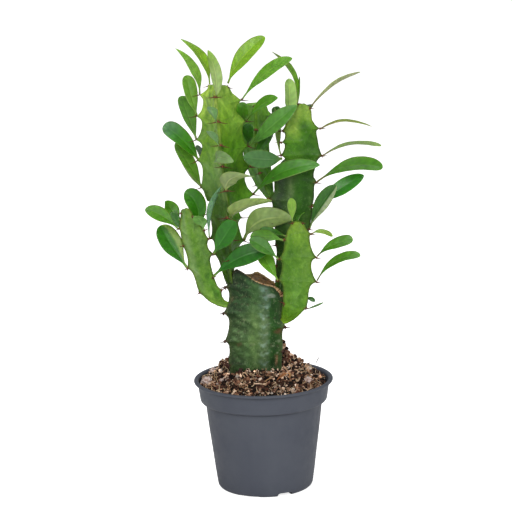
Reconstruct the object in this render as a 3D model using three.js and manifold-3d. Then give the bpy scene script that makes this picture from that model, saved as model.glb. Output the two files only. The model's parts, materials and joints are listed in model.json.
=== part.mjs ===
// Potted euphorbia: a stout three-ribbed old stem, cut off obliquely at the
// top, with five younger ribbed shoots and their fleshy leaves, rooted in a
// mound of peaty soil in a plain nursery pot.
// Millimetres, +Z up. Origin: centre of the pot's underside, on the surface
// that the pot stands on. The front of the plant looks along -Y.
import * as THREE from 'three';
import { mergeVertices } from 'three/addons/utils/BufferGeometryUtils.js';
import Module from 'manifold-3d';

const wasm = await Module();
wasm.setup();

// ---------------------------------------------------------------- dimensions
const POT_RIM_DIAMETER = 120;      // over the rolled lip
const POT_HEIGHT = 95.4;
const POT_FOOT_RADIUS = 38.4;      // flat part of the foot
const POT_WALL = 1.5;
const POT_FLOOR = 1.8;
const POT_SEGMENTS = 40;
const DRAIN_SLOTS = 3;             // notches through the bottom corner
const DRAIN_SLOT_WIDTH = 13.4;
const DRAIN_SLOT_HEIGHT = 3.3;
const GAP = 0.3;                   // clearance between pieces that touch
const SOIL_SEGMENTS = 32;
const RIB_EDGE = 1.2;              // half thickness of a rib at its edge
const LEAF_THICKNESS = 1.3;
const STATION_STEP = 3.8;          // spacing of cross-sections along a stem

// Stems. Each station is x, y, z of the centre line and the rib radius in the
// hollows between teeth. Each rib is its angle at the base and at the tip
// (0 faces the front, 90 the right), then its teeth: distance along the stem
// and radius of the tooth's point.
const STEMS = {
  T: {
    node: 'trunk',
    st: [[-5.8, 2.0, 83.0, 18.0], [-5.6, 2.0, 89.3, 23.0], [-6.1, 2.0, 98.2, 25.6], [-6.2, 2.0, 109.0, 25.4], [-5.9, 2.0, 124.1, 25.9], [-5.7, 2.0, 141.9, 26.0], [-5.5, 2.0, 156.9, 25.6], [-4.8, 2.0, 169.3, 26.3], [-4.0, 2.0, 181.6, 25.5], [-3.4, 2.0, 193.8, 23.7]],
    ribs: [
      [-60, -60, [[108.9, 26.0], [94.6, 31.0], [72.8, 31.7], [48.5, 30.7], [27.1, 27.1]]],
      [60, 60, [[86.3, 27.6], [60.3, 29.5], [39.1, 26.4], [20.7, 24.5]]],
      [180, 180, [[97.1, 30.3], [76.2, 30.3], [53.9, 30.6], [29.4, 30.1], [9.0, 28.7]]],
    ],
  },
  A: {
    node: 'shoot_left_low',
    st: [[-25.4, -9.0, 161.8, 2.2], [-29.2, -10.0, 163.3, 2.9], [-33.9, -11.0, 165.4, 3.9], [-37.5, -12.0, 168.8, 5.5], [-40.8, -13.0, 173.1, 7.3], [-44.1, -14.0, 178.8, 8.3], [-46.6, -15.0, 185.1, 8.8], [-49.2, -15.0, 193.0, 9.0], [-51.3, -15.0, 201.8, 9.9], [-53.6, -15.0, 212.6, 10.6], [-55.8, -15.0, 223.5, 11.9], [-58.7, -15.0, 233.0, 10.1], [-60.9, -15.0, 240.4, 7.2], [-61.6, -15.0, 245.6, 4.5], [-61.8, -15.0, 247.7, 2.9]],
    ribs: [
      [-60, -60, [[95.9, 5.8], [85.5, 11.3], [69.4, 12.0], [49.6, 13.3], [28.6, 10.3]]],
      [60, 60, [[91.7, 5.3], [77.4, 12.3], [70.4, 14.0], [57.2, 15.0], [35.8, 8.5], [21.3, 10.1]]],
      [180, 180, [[92.7, 9.8], [70.8, 15.4], [51.3, 13.5], [31.4, 12.3]]],
    ],
  },
  B: {
    node: 'shoot_left_tall',
    st: [[-26.2, -10.0, 182.2, 3.9], [-27.0, -9.0, 187.2, 4.9], [-27.8, -8.0, 194.9, 6.4], [-27.8, -8.0, 203.6, 8.8], [-27.6, -8.0, 212.3, 11.8], [-27.8, -8.0, 222.7, 13.0], [-29.2, -8.0, 233.1, 12.9], [-29.4, -8.0, 242.6, 13.7], [-27.5, -8.0, 251.2, 17.6], [-28.5, -8.0, 260.6, 20.0], [-29.5, -8.0, 272.6, 20.1], [-30.2, -8.0, 286.3, 19.9], [-30.5, -8.0, 300.8, 19.6], [-30.8, -8.0, 313.5, 19.4], [-31.3, -8.0, 326.2, 18.1], [-32.1, -8.0, 335.6, 16.7], [-32.8, -8.0, 342.3, 14.0], [-32.7, -8.0, 347.3, 11.1], [-32.6, -8.0, 350.3, 9.2]],
    ribs: [
      [-106, -128, [[168.9, 10.1], [161.4, 19.3], [143.4, 24.7], [122.7, 25.9], [105.4, 24.8], [83.4, 23.0], [59.2, 15.3], [39.0, 16.6], [24.1, 11.6]]],
      [14, -8, [[162.6, 17.7], [142.9, 22.9], [123.2, 24.1], [105.4, 24.5], [84.9, 24.8], [60.4, 18.2], [40.7, 17.6], [23.1, 13.9]]],
      [134, 112, [[168.9, 8.6], [154.1, 20.7], [137.0, 22.9], [115.8, 24.6], [96.7, 26.5], [71.8, 27.3], [53.7, 16.8], [34.1, 17.3], [16.5, 10.1]]],
    ],
  },
  C: {
    node: 'shoot_right_tall',
    st: [[15.3, -7.0, 169.2, 4.4], [16.3, -5.0, 175.7, 5.9], [18.7, 0.0, 185.0, 7.4], [21.5, 5.0, 195.2, 9.9], [24.4, 9.0, 206.6, 12.9], [26.3, 11.0, 218.4, 15.3], [27.5, 12.0, 231.2, 18.1], [28.1, 12.0, 244.3, 19.5], [29.6, 12.0, 255.6, 19.2], [29.9, 12.0, 264.2, 19.3], [31.6, 12.0, 273.7, 17.7], [35.2, 12.0, 282.3, 15.2], [36.2, 12.0, 291.7, 16.0], [36.4, 12.0, 301.2, 15.7], [35.5, 12.0, 310.6, 14.2], [36.1, 12.0, 319.2, 12.2], [38.5, 12.0, 325.9, 8.5], [39.8, 12.0, 329.7, 6.3]],
    ribs: [
      [-60, -60, [[167.3, 7.0], [157.7, 12.8], [147.1, 17.3], [137.6, 19.8], [124.9, 20.0], [104.0, 22.2], [85.0, 24.8], [65.9, 20.9], [42.9, 14.3], [23.5, 9.4]]],
      [60, 60, [[167.3, 5.9], [147.8, 19.7], [125.7, 20.6], [104.0, 21.3], [82.5, 18.7], [60.9, 17.2], [42.9, 14.3], [24.5, 11.6]]],
      [180, 180, [[163.0, 13.2], [144.4, 19.4], [123.3, 20.0], [100.8, 23.8], [79.5, 24.1], [62.0, 21.7], [44.4, 18.0], [27.5, 14.0]]],
    ],
  },
  D: {
    node: 'shoot_right_low',
    st: [[16.1, -10.0, 147.7, 1.9], [19.3, -12.0, 149.6, 3.9], [21.4, -14.0, 152.9, 5.8], [23.6, -16.5, 157.4, 7.9], [26.1, -19.0, 163.3, 10.0], [28.0, -21.0, 170.5, 11.2], [29.2, -22.0, 178.5, 12.3], [29.7, -22.0, 188.9, 13.9], [29.9, -22.0, 198.4, 14.1], [30.6, -22.0, 210.5, 13.1], [30.9, -22.0, 219.1, 12.3], [31.0, -22.0, 226.8, 10.4], [31.3, -22.0, 232.1, 7.8], [31.5, -22.0, 235.8, 5.3]],
    ribs: [
      [-60, -60, [[94.4, 5.2], [81.1, 12.9], [64.2, 17.6], [46.2, 18.3], [24.3, 9.8]]],
      [60, 60, [[94.4, 5.0], [86.2, 13.7], [66.7, 19.1], [45.3, 19.7], [25.3, 12.8]]],
      [180, 180, [[89.6, 12.0], [74.0, 16.4], [54.5, 17.8], [33.8, 15.5]]],
    ],
  },
  E: {
    node: 'shoot_rear',
    st: [[10.2, 4.0, 250.6, 2.9], [8.6, 8.0, 254.2, 4.1], [6.2, 13.0, 259.4, 6.2], [3.8, 18.0, 265.5, 8.5], [1.0, 22.0, 273.5, 10.9], [-1.4, 25.0, 285.2, 12.5], [-2.0, 26.0, 298.9, 13.0], [-1.7, 26.0, 312.7, 13.2], [-1.5, 26.0, 323.0, 12.0], [-2.0, 26.0, 329.9, 9.3]],
    ribs: [
      [-120, -120, [[88.1, 9.7], [73.3, 14.8], [52.9, 15.2], [37.3, 11.3], [21.1, 9.2]]],
      [0, 0, [[88.1, 12.9], [68.7, 16.9], [48.3, 16.4], [24.4, 12.9]]],
      [120, 120, [[86.4, 9.3], [78.1, 16.4], [59.3, 14.8], [40.5, 12.0], [19.0, 7.0]]],
    ],
  },
};

// Leaves: name, stem, base, middle, tip, width, and the way the upper face
// looks at the middle of the blade.
const LEAVES = [
  ['leaf_left_tall_1', 'B', [-39.7, -1.4, 351.4], [-45.7, 1.2, 372.6], [-62.9, 6.2, 389.1], 13, [0.67, -0.52, 0.52]],
  ['leaf_left_tall_2', 'B', [-48.4, 4.0, 343.2], [-53.0, 8.6, 362.4], [-68.0, 13.6, 380.4], 13, [0.69, -0.52, 0.5]],
  ['leaf_left_tall_3', 'B', [-33.6, -26.2, 345.3], [-34.0, -27.6, 363.8], [-39.8, -25.6, 383.1], 11, [0.4, 0.92, 0.05]],
  ['leaf_left_tall_4', 'B', [-24.2, -4.6, 352.2], [-12.2, -4.8, 372.6], [7.4, -4.8, 390.5], 15, [-0.46, -0.81, 0.37]],
  ['leaf_left_tall_5', 'B', [-12.7, 0.6, 337.7], [6.9, -1.6, 359.1], [29.9, -5.6, 372.0], 13, [-0.54, -0.64, 0.55]],
  ['leaf_left_tall_6', 'B', [-51.3, 6.4, 324.5], [-55.6, 7.1, 340.7], [-59.4, 10.1, 357.9], 13.5, [0.45, -0.87, 0.21]],
  ['leaf_left_tall_7', 'B', [-52.4, 6.0, 304.3], [-58.4, 11.7, 322.2], [-64.5, 17.7, 339.4], 13.5, [0.48, -0.77, 0.42]],
  ['leaf_left_tall_8', 'B', [-51.3, 4.6, 286.9], [-64.0, 5.3, 303.5], [-79.7, 8.3, 316.2], 16, [0.41, -0.77, 0.49]],
  ['leaf_left_tall_9', 'B', [-49.3, 2.7, 264.3], [-59.8, 7.4, 283.5], [-70.4, 11.4, 300.1], 13.5, [0.52, -0.71, 0.48]],
  ['leaf_left_tall_10', 'B', [-47.0, 2.7, 261.2], [-59.5, 12.4, 274.4], [-67.9, 17.4, 290.1], 12, [0.81, 0.48, 0.34]],
  ['leaf_left_tall_11', 'B', [-9.2, 2.4, 319.5], [3.5, -3.9, 333.6], [17.3, -7.9, 339.5], 12, [-0.63, -0.53, 0.56]],
  ['leaf_left_tall_12', 'B', [-7.4, 4.2, 297.0], [13.1, -3.1, 316.2], [33.4, -6.1, 332.8], 17, [-0.52, -0.77, 0.36]],
  ['leaf_left_tall_13', 'B', [-6.7, 6.1, 279.7], [2.7, 4.8, 296.2], [13.5, 2.8, 309.6], 12, [-0.68, -0.62, 0.39]],
  ['leaf_left_tall_14', 'B', [-4.7, 7.8, 255.7], [19.5, -3.5, 275.6], [51.5, -8.5, 282.0], 16, [-0.45, -0.72, 0.52]],
  ['leaf_left_tall_15', 'B', [-27.7, -33.4, 267.0], [-22.4, -41.8, 278.7], [-4.1, -47.8, 280.2], 15, [0.17, 0.8, 0.57]],
  ['leaf_left_tall_16', 'B', [-31.2, -33.1, 287.5], [-34.4, -41.5, 296.2], [-20.8, -52.5, 294.0], 10.5, [-0.85, -0.32, 0.42]],
  ['leaf_left_tall_17', 'B', [-23.7, -26.7, 242.3], [-14.8, -35.1, 252.7], [10.2, -32.1, 256.8], 14, [-0.16, 0.74, 0.65]],
  ['leaf_left_tall_18', 'B', [-14.0, 3.4, 216.5], [0.9, -2.0, 234.2], [27.7, -2.0, 234.5], 21, [0.08, 0.99, 0.1]],
  ['leaf_left_tall_19', 'B', [-48.0, 4.6, 283.7], [-48.9, 17.3, 289.3], [-49.7, 35.3, 292.4], 12, [0.56, -0.2, 0.81]],
  ['leaf_left_tall_20', 'B', [-10.5, 2.4, 319.3], [-12.2, -11.9, 328.4], [-10.8, -17.9, 337.8], 11.5, [-0.41, -0.61, -0.67]],
  ['leaf_left_tall_21', 'B', [-8.5, 4.2, 298.0], [-8.3, -10.1, 309.6], [-6.4, -16.1, 319.5], 11, [-0.51, -0.65, -0.56]],
  ['leaf_rear_1', 'E', [10.8, 33.7, 301.7], [7.2, 45.4, 313.0], [0.4, 63.4, 312.2], 13, [0.24, -0.25, 0.94]],
  ['leaf_rear_2', 'E', [-13.1, 33.8, 292.2], [-6.9, 45.5, 297.6], [-1.6, 65.5, 301.3], 13, [-0.17, -0.21, 0.96]],
  ['leaf_left_low_1', 'A', [-55.3, 1.2, 222.3], [-52.8, 3.4, 245.2], [-63.5, 5.4, 258.9], 17, [0.34, -0.92, 0.18]],
  ['leaf_left_low_2', 'A', [-67.3, -18.2, 239.0], [-73.6, -1.9, 243.7], [-80.2, 2.1, 251.9], 13, [0.11, -0.48, 0.87]],
  ['leaf_left_low_3', 'A', [-69.1, -21.0, 232.3], [-81.7, -22.7, 244.1], [-96.2, -23.7, 249.9], 13, [0.38, -0.8, 0.46]],
  ['leaf_left_low_4', 'A', [-62.4, -22.0, 199.0], [-73.9, -15.7, 215.8], [-84.3, -10.7, 233.6], 17, [0.25, -0.86, 0.44]],
  ['leaf_left_low_5', 'A', [-47.6, -21.5, 231.5], [-49.2, -26.2, 239.6], [-54.3, -34.2, 245.8], 11.5, [-0.1, -0.72, -0.69]],
  ['leaf_left_low_6', 'A', [-42.8, -22.3, 225.1], [-40.8, -29.0, 248.7], [-31.5, -37.0, 271.2], 10, [-0.79, 0.5, 0.35]],
  ['leaf_left_low_7', 'A', [-39.8, -22.8, 210.6], [-30.9, -30.5, 225.7], [-20.8, -37.5, 241.4], 17.5, [-0.45, -0.88, -0.14]],
  ['leaf_left_low_8', 'A', [-40.6, -19.6, 190.3], [-18.4, -24.3, 206.9], [6.6, -27.3, 213.9], 17.5, [-0.33, -0.86, 0.38]],
  ['leaf_right_low_1', 'D', [27.0, -24.9, 237.4], [26.8, -25.6, 248.2], [26.1, -26.6, 257.8], 8, [0.31, -0.95, -0.07]],
  ['leaf_right_low_2', 'D', [43.3, -29.2, 227.3], [50.8, -30.9, 229.7], [60.4, -31.9, 225.3], 9, [0.03, -0.49, 0.87]],
  ['leaf_right_low_3', 'D', [47.4, -31.8, 208.6], [60.1, -34.5, 218.3], [77.2, -36.5, 223.0], 11.5, [-0.4, -0.68, 0.62]],
  ['leaf_right_low_4', 'D', [46.9, -32.2, 187.7], [61.6, -34.9, 204.4], [83.3, -36.9, 209.6], 12, [-0.47, -0.6, 0.65]],
  ['leaf_right_low_5', 'D', [14.5, -31.1, 206.8], [3.2, -33.8, 217.4], [-9.4, -36.8, 225.2], 13, [0.48, -0.8, 0.37]],
  ['leaf_right_low_6', 'D', [19.3, -28.8, 222.1], [5.6, -23.5, 224.5], [-8.5, -20.5, 224.1], 13, [-0.16, -0.69, 0.71]],
  ['leaf_right_low_7', 'D', [14.0, -31.4, 188.4], [6.2, -23.1, 200.5], [-0.5, -16.1, 211.2], 13.5, [0.12, -0.79, 0.6]],
  ['leaf_right_low_8', 'D', [21.5, -28.8, 225.9], [10.7, -18.5, 227.0], [-0.1, -15.5, 229.6], 10, [-0.05, -0.35, 0.94]],
  ['leaf_right_tall_1', 'C', [45.6, 8.7, 329.8], [64.8, 7.0, 347.9], [87.1, 6.0, 358.1], 9, [-0.48, 0.45, 0.75]],
  ['leaf_right_tall_2', 'C', [53.1, 1.9, 311.3], [72.1, -0.8, 317.8], [95.7, -1.8, 312.6], 9, [-0.04, -0.13, 0.99]],
  ['leaf_right_tall_3', 'C', [54.5, 1.4, 288.3], [76.9, -1.3, 297.9], [103.6, -3.3, 296.3], 12, [-0.18, -0.2, 0.96]],
  ['leaf_right_tall_4', 'C', [49.1, 1.1, 265.8], [77.1, -1.6, 279.5], [104.6, -3.6, 277.6], 15, [-0.21, -0.62, 0.76]],
  ['leaf_right_tall_5', 'C', [45.0, 2.3, 245.3], [66.9, 5.6, 257.2], [89.2, 8.6, 269.5], 14.5, [-0.24, -0.74, 0.63]],
  ['leaf_right_tall_6', 'C', [42.4, 2.8, 225.5], [51.5, -3.9, 246.0], [65.3, -7.9, 264.1], 14, [-0.64, -0.75, 0.17]],
  ['leaf_right_tall_7', 'C', [27.6, 5.3, 323.3], [27.6, 4.6, 337.5], [26.9, 5.6, 353.9], 12.5, [0.54, 0.84, 0.01]],
  ['leaf_right_tall_8', 'C', [33.6, 8.2, 333.6], [30.1, 9.5, 357.1], [13.4, 12.5, 375.7], 12, [0.78, -0.46, 0.42]],
  ['leaf_right_tall_9', 'C', [18.7, 1.7, 290.1], [15.8, 4.0, 307.2], [14.6, 5.0, 329.2], 12, [0.9, -0.41, 0.13]],
  ['leaf_right_tall_10', 'C', [19.8, 1.7, 286.4], [3.2, -11.0, 288.5], [-13.0, -20.0, 292.7], 16, [0.56, -0.82, 0.1]],
  ['leaf_right_tall_11', 'C', [35.7, 32.2, 308.5], [41.1, 47.4, 322.4], [40.7, 65.4, 320.6], 14, [0.02, -0.34, 0.94]],
  ['leaf_right_tall_12', 'C', [30.0, 36.6, 266.0], [36.2, 52.8, 282.3], [37.5, 71.8, 281.7], 15, [0.01, -0.41, 0.91]],
  ['leaf_right_tall_13', 'C', [27.0, 34.2, 225.9], [31.1, 50.4, 243.9], [32.4, 69.4, 241.2], 15, [0.01, -0.4, 0.92]],
];

// Upper end of the old stem: the line of the slanting cut, x and z.
const CUT_LINE = [[-60, 176], [-28, 184.5], [-25, 189], [-23.2, 191.8], [-20.5, 193.6], [-15.4, 190.3], [-9.9, 186.9], [-5.4, 183.1],
  [-2.7, 181.8], [3.9, 179.4], [11, 178], [14.1, 175.6], [16.6, 172.5], [18.4, 168.1], [20, 163.5], [60, 150]];
const CUT_BACK = 181.8;            // height of the cut at the back rib

// Outline of a leaf: share of the length, share of the half width.
const LEAF_OUTLINE = [[0, 0.15], [0.1, 0.15], [0.22, 0.34], [0.36, 0.66], [0.5, 0.9],
  [0.63, 1], [0.76, 0.95], [0.87, 0.74], [0.95, 0.43], [1, 0.1]];

// ------------------------------------------------------------------- helpers
const V = (x, y, z) => new THREE.Vector3(x, y, z);

function indexed(points, faces) {
  const geometry = new THREE.BufferGeometry();
  geometry.setAttribute('position', new THREE.Float32BufferAttribute(points.flatMap(p => [p.x, p.y, p.z]), 3));
  geometry.setIndex(faces.flat());
  return geometry;
}

function toSolid(geometry) {
  let g = geometry.clone();
  g.deleteAttribute('normal');
  g.deleteAttribute('uv');
  g = mergeVertices(g, 1e-4);
  return new wasm.Manifold(new wasm.Mesh({
    numProp: 3,
    vertProperties: new Float32Array(g.attributes.position.array),
    triVerts: new Uint32Array(g.index.array),
  }));
}

function toGeometry(solid) {
  const mesh = solid.getMesh();
  const geometry = new THREE.BufferGeometry();
  geometry.setAttribute('position', new THREE.BufferAttribute(new Float32Array(mesh.vertProperties), 3));
  geometry.setIndex(new THREE.BufferAttribute(new Uint32Array(mesh.triVerts), 1));
  return geometry;
}

// The largest body of a solid: cutting can leave a crumb behind.
function largest(solid) {
  const bodies = solid.decompose();
  return bodies.reduce((a, b) => (b.volume() > a.volume() ? b : a));
}

// Closed surface from rings of equal length, with a point closing each end.
function loft(rings, first, last) {
  const n = rings[0].length;
  const points = rings.flat();
  const faces = [];
  for (let j = 0; j + 1 < rings.length; j++) {
    for (let i = 0; i < n; i++) {
      const a = j * n + i, b = j * n + (i + 1) % n, c = a + n, d = b + n;
      faces.push([a, b, d], [a, d, c]);
    }
  }
  const f = points.length;
  points.push(first, last);
  const top = (rings.length - 1) * n;
  for (let i = 0; i < n; i++) {
    faces.push([f, (i + 1) % n, i]);
    faces.push([f + 1, top + i, top + (i + 1) % n]);
  }
  return indexed(points, faces);
}

// --------------------------------------------------------------------- stems
function centreLine(stations) {
  // Catmull-Rom through the stations, with the rib radius carried along.
  const out = [];
  const at = i => stations[Math.max(0, Math.min(stations.length - 1, i))];
  const ghost = (a, b) => a.map((x, k) => 2 * x - b[k]);
  for (let i = 0; i + 1 < stations.length; i++) {
    const b = at(i), c = at(i + 1);
    const a = i === 0 ? ghost(b, c) : at(i - 1);
    const d = i + 2 >= stations.length ? ghost(c, b) : at(i + 2);
    for (let k = 0; k < 16; k++) {
      const t = k / 16;
      out.push(b.map((_, m) => 0.5 * (2 * b[m] + (c[m] - a[m]) * t
        + (2 * a[m] - 5 * b[m] + 4 * c[m] - d[m]) * t * t
        + (3 * b[m] - a[m] - 3 * c[m] + d[m]) * t * t * t)));
    }
  }
  out.push(at(stations.length - 1));
  let s = 0;
  return out.map((p, i) => {
    if (i) s += Math.hypot(p[0] - out[i - 1][0], p[1] - out[i - 1][1], p[2] - out[i - 1][2]);
    return { s, p: V(p[0], p[1], p[2]), r: p[3] };
  });
}

function onLine(line, s) {
  let i = 0;
  while (i + 2 < line.length && line[i + 1].s < s) i++;
  const a = line[i], b = line[i + 1];
  const t = Math.min(1, Math.max(0, (s - a.s) / (b.s - a.s)));
  const lo = line[Math.max(0, i - 3)], hi = line[Math.min(line.length - 1, i + 4)];
  return {
    p: a.p.clone().lerp(b.p, t),
    r: a.r + (b.r - a.r) * t,
    tangent: hi.p.clone().sub(lo.p).normalize(),
  };
}

// Radius of a rib's edge: pointed at each tooth; between two teeth it falls off
// slowly above the lower one and is cut in sharply under the upper one.
function edgeRadius(teeth, s, valley) {
  const t = [...teeth].sort((a, b) => a[0] - b[0]);
  if (s <= t[0][0]) {
    const f = Math.max(0, 1 - (t[0][0] - s) / 9);
    return valley + (t[0][1] - valley) * f ** 3;
  }
  if (s >= t[t.length - 1][0]) return valley + (t[t.length - 1][1] - valley) * Math.max(0, 1 - (s - t[t.length - 1][0]) / 6);
  let i = 0;
  while (t[i + 1][0] < s) i++;
  const f = (s - t[i][0]) / (t[i + 1][0] - t[i][0]);
  const tip = t[i][1] + (t[i + 1][1] - t[i][1]) * f;
  const dip = f < 0.62 ? Math.pow(Math.sin((f / 0.62) * Math.PI / 2), 0.8) : 1 - ((f - 0.62) / 0.38) ** 3;
  return tip + (valley - tip) * dip;
}

function stemSolid(stem, core, sink, grow) {
  const line = centreLine(stem.st);
  const length = line[line.length - 1].s;
  const teeth = stem.ribs.flatMap(r => r[2].map(t => t[0])).filter(s => s > 1 && s < length - 1);
  const marks = [0, length];
  for (const s of teeth.sort((a, b) => a - b)) if (marks.every(m => Math.abs(m - s) > 0.9)) marks.push(s);
  const count = Math.round(length / STATION_STEP);
  for (let i = 1; i < count; i++) {
    const s = (i * length) / count;
    if (marks.every(m => Math.abs(m - s) > 1.7)) marks.push(s);
  }
  marks.sort((a, b) => a - b);
  const rings = marks.map(s => {
    const { p, r, tangent } = onLine(line, s);
    const front = V(0, -1, 0);
    front.addScaledVector(tangent, -front.dot(tangent)).normalize();
    const side = tangent.clone().cross(front);
    const dir = deg => {
      const a = THREE.MathUtils.degToRad(deg);
      return front.clone().multiplyScalar(Math.cos(a)).addScaledVector(side, Math.sin(a));
    };
    const ring = [];
    const edges = stem.ribs.map(([base, tip, teeth_]) => {
      const angle = base + ((tip - base) * s) / length;
      const d = dir(angle), across = dir(angle + 90);
      const edge = Math.max(edgeRadius(teeth_, s, r), 0.8) + grow;
      const half = Math.min(RIB_EDGE, edge * 0.3) + grow;
      return {
        angle,
        before: d.clone().multiplyScalar(edge).addScaledVector(across, -half),
        after: d.clone().multiplyScalar(edge).addScaledVector(across, half),
      };
    });
    for (let k = 0; k < 3; k++) {
      const a = edges[k], b = edges[(k + 1) % 3];
      let turn = b.angle - a.angle;
      if (turn < 0) turn += 360;
      const c = dir(a.angle + turn / 2).multiplyScalar(r * core + grow * 2);
      ring.push(a.before, a.after);
      for (const t of [0.34, 0.66]) {
        ring.push(a.after.clone().multiplyScalar((1 - t) ** 2).addScaledVector(c, 2 * t * (1 - t)).addScaledVector(b.before, t * t));
      }
    }
    return ring.map(q => q.add(p));
  });
  const first = onLine(line, 0), last = onLine(line, length);
  return loft(rings, first.p.clone().addScaledVector(first.tangent, -grow - 0.2),
    last.p.clone().addScaledVector(last.tangent, grow - sink));
}

// -------------------------------------------------------------------- leaves
function leafSolid([, , base, middle, tip, width, up]) {
  const a = V(...base), m = V(...middle), b = V(...tip), n = V(...up);
  const ctrl = m.clone().multiplyScalar(2).addScaledVector(a, -0.5).addScaledVector(b, -0.5);
  const rings = LEAF_OUTLINE.map(([t, w]) => {
    const p = a.clone().multiplyScalar((1 - t) ** 2).addScaledVector(ctrl, 2 * t * (1 - t)).addScaledVector(b, t * t);
    const along = ctrl.clone().sub(a).multiplyScalar(2 * (1 - t)).addScaledVector(b.clone().sub(ctrl), 2 * t).normalize();
    const normal = n.clone().addScaledVector(along, -n.dot(along)).normalize();
    const side = along.clone().cross(normal);
    const half = (w * width) / 2, fold = half * 0.16;
    const thick = LEAF_THICKNESS * (t > 0.9 ? 0.6 : 1) / 2;
    return [
      p.clone().addScaledVector(side, half).addScaledVector(normal, fold),
      p.clone().addScaledVector(normal, -thick),
      p.clone().addScaledVector(side, -half).addScaledVector(normal, fold),
      p.clone().addScaledVector(normal, thick),
    ];
  });
  return loft(rings, a, b);
}

// ----------------------------------------------------------------------- pot
function potSolid() {
  const rim = POT_RIM_DIAMETER / 2, h = POT_HEIGHT, w = POT_WALL, f = POT_FOOT_RADIUS;
  const profile = [
    [0, 0], [f, 0], [f + 2.2, 1.2], [f + 3, 4],          // foot and its rounded corner
    [44.9, 30], [47.5, 50], [49.9, 72], [50.6, 74],      // tapered body
    [54.8, 78.2], [55, 79.2], [56.9, 92.7],              // step and rim band
    [59.2, 93.2], [rim, 94], [rim, 94.8], [59.2, h], [56.6, h],   // rolled lip
    [55.6, 94], [57 - w, 91], [55.1 - w, 79.6], [51 - w, 75.3],
    [49.9 - w, 72], [44.9 - w, 30], [f + 3 - w, 5], [f - 1, POT_FLOOR], [0, POT_FLOOR],
  ].map(([x, y]) => new THREE.Vector2(x, y));
  const lathe = new THREE.LatheGeometry(profile, POT_SEGMENTS);
  lathe.rotateX(Math.PI / 2);
  let pot = toSolid(lathe);
  for (let k = 0; k < DRAIN_SLOTS; k++) {
    const slot = new THREE.BoxGeometry(DRAIN_SLOT_WIDTH, 14.6, DRAIN_SLOT_HEIGHT * 2);
    slot.translate(0, -(f - 1.6), 0);
    slot.rotateZ(THREE.MathUtils.degToRad(24 + (360 / DRAIN_SLOTS) * k));
    pot = pot.subtract(toSolid(slot));
  }
  return pot;
}

// ---------------------------------------------------------------------- soil
function soilHeight(x, y) {
  // A mound around the old stem, heaped up most behind it, low at the wall.
  const r = Math.hypot(x, y);
  const near = Math.exp(-((Math.hypot(x + 6, y - 2) / 38) ** 4));
  const heap = 12 * Math.exp(-(((x - 24) ** 2 + (y - 20) ** 2) / 400)) + 7 * Math.exp(-(((x + 30) ** 2 + (y - 12) ** 2) / 200));
  const crumbs = 0.8 * Math.sin(x * 0.61 + 1.3) * Math.cos(y * 0.53 - 0.4) + 0.5 * Math.sin(x * 0.23 - y * 0.31);
  return 90.6 + 14.5 * near + heap + crumbs * (r > 46 ? 0.5 : 1);
}

function soilSolid() {
  const w = POT_WALL + GAP;
  const wall = [[POT_FOOT_RADIUS - 1.6, POT_FLOOR + GAP], [POT_FOOT_RADIUS + 2.7 - w, 6], [44.9 - w, 30], [49.7 - w, 72], [50.8 - w, 75.7], [54.9 - w, 80.3]];
  const rings = [];
  const ring = (r, z) => Array.from({ length: SOIL_SEGMENTS }, (_, i) => {
    const a = (2 * Math.PI * i) / SOIL_SEGMENTS;
    const x = r * Math.cos(a), y = r * Math.sin(a);
    return V(x, y, z ?? soilHeight(x, y));
  });
  for (const [r, z] of wall) rings.push(ring(r, z));
  for (const r of [54.2, 47, 39, 31, 23, 12]) rings.push(ring(r));
  return toSolid(loft(rings, V(0, 0, POT_FLOOR + GAP), V(0, 0, soilHeight(0, 0))));
}

// ------------------------------------------------------------------ assembly
// Everything above the slanting cut. In front the cut follows CUT_LINE, and
// towards the back it levels out.
function cutHeight(x, y) {
  let i = 0;
  while (i + 2 < CUT_LINE.length && CUT_LINE[i + 1][0] < x) i++;
  const [x0, z0] = CUT_LINE[i], [x1, z1] = CUT_LINE[i + 1];
  const z = z0 + ((z1 - z0) * (x - x0)) / (x1 - x0);
  const share = (y + 10) / 32;
  return z + share * ((x > 13 ? z + 4 : CUT_BACK) - z) * (x > 11 && x < 13 ? 0.6 : 1);
}

function cutter(lift) {
  const xs = [-60, -40, -28, -25, -23.2, -20.5, -18, -15.4, -12.6, -9.9, -7.6, -5.4, -2.7, 0.5, 3.9, 7.5, 11, 14.1, 16.6, 18.4, 20, 40, 60];
  const ys = [-50, -30, -18, -10, -4, 3, 10, 17, 24, 34, 50];
  const points = [], faces = [], n = xs.length;
  for (const top of [false, true]) for (const y of ys) for (const x of xs) points.push(V(x, y, top ? 270 : cutHeight(x, y) + lift));
  const at = (i, j, top) => (top ? xs.length * ys.length : 0) + j * n + i;
  for (let j = 0; j + 1 < ys.length; j++) {
    for (let i = 0; i + 1 < n; i++) {
      faces.push([at(i, j, false), at(i + 1, j + 1, false), at(i + 1, j, false)], [at(i, j, false), at(i, j + 1, false), at(i + 1, j + 1, false)]);
      faces.push([at(i, j, true), at(i + 1, j, true), at(i + 1, j + 1, true)], [at(i, j, true), at(i + 1, j + 1, true), at(i, j + 1, true)]);
    }
  }
  const border = [];
  for (let i = 0; i + 1 < n; i++) border.push([i, 0]);
  for (let j = 0; j + 1 < ys.length; j++) border.push([n - 1, j]);
  for (let i = n - 1; i > 0; i--) border.push([i, ys.length - 1]);
  for (let j = ys.length - 1; j > 0; j--) border.push([0, j]);
  border.forEach(([i, j], k) => {
    const [p, q] = border[(k + 1) % border.length];
    faces.push([at(i, j, false), at(p, q, false), at(p, q, true)], [at(i, j, false), at(p, q, true), at(i, j, true)]);
  });
  return toSolid(indexed(points, faces));
}

const CORE = { A: 0.5, B: 0.42, C: 0.46, D: 0.5, E: 0.5, T: 0.42 };
const SINK = { A: 0.5, B: 2.2, C: 1.5, D: 1.2, E: 1, T: 0 };

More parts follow.
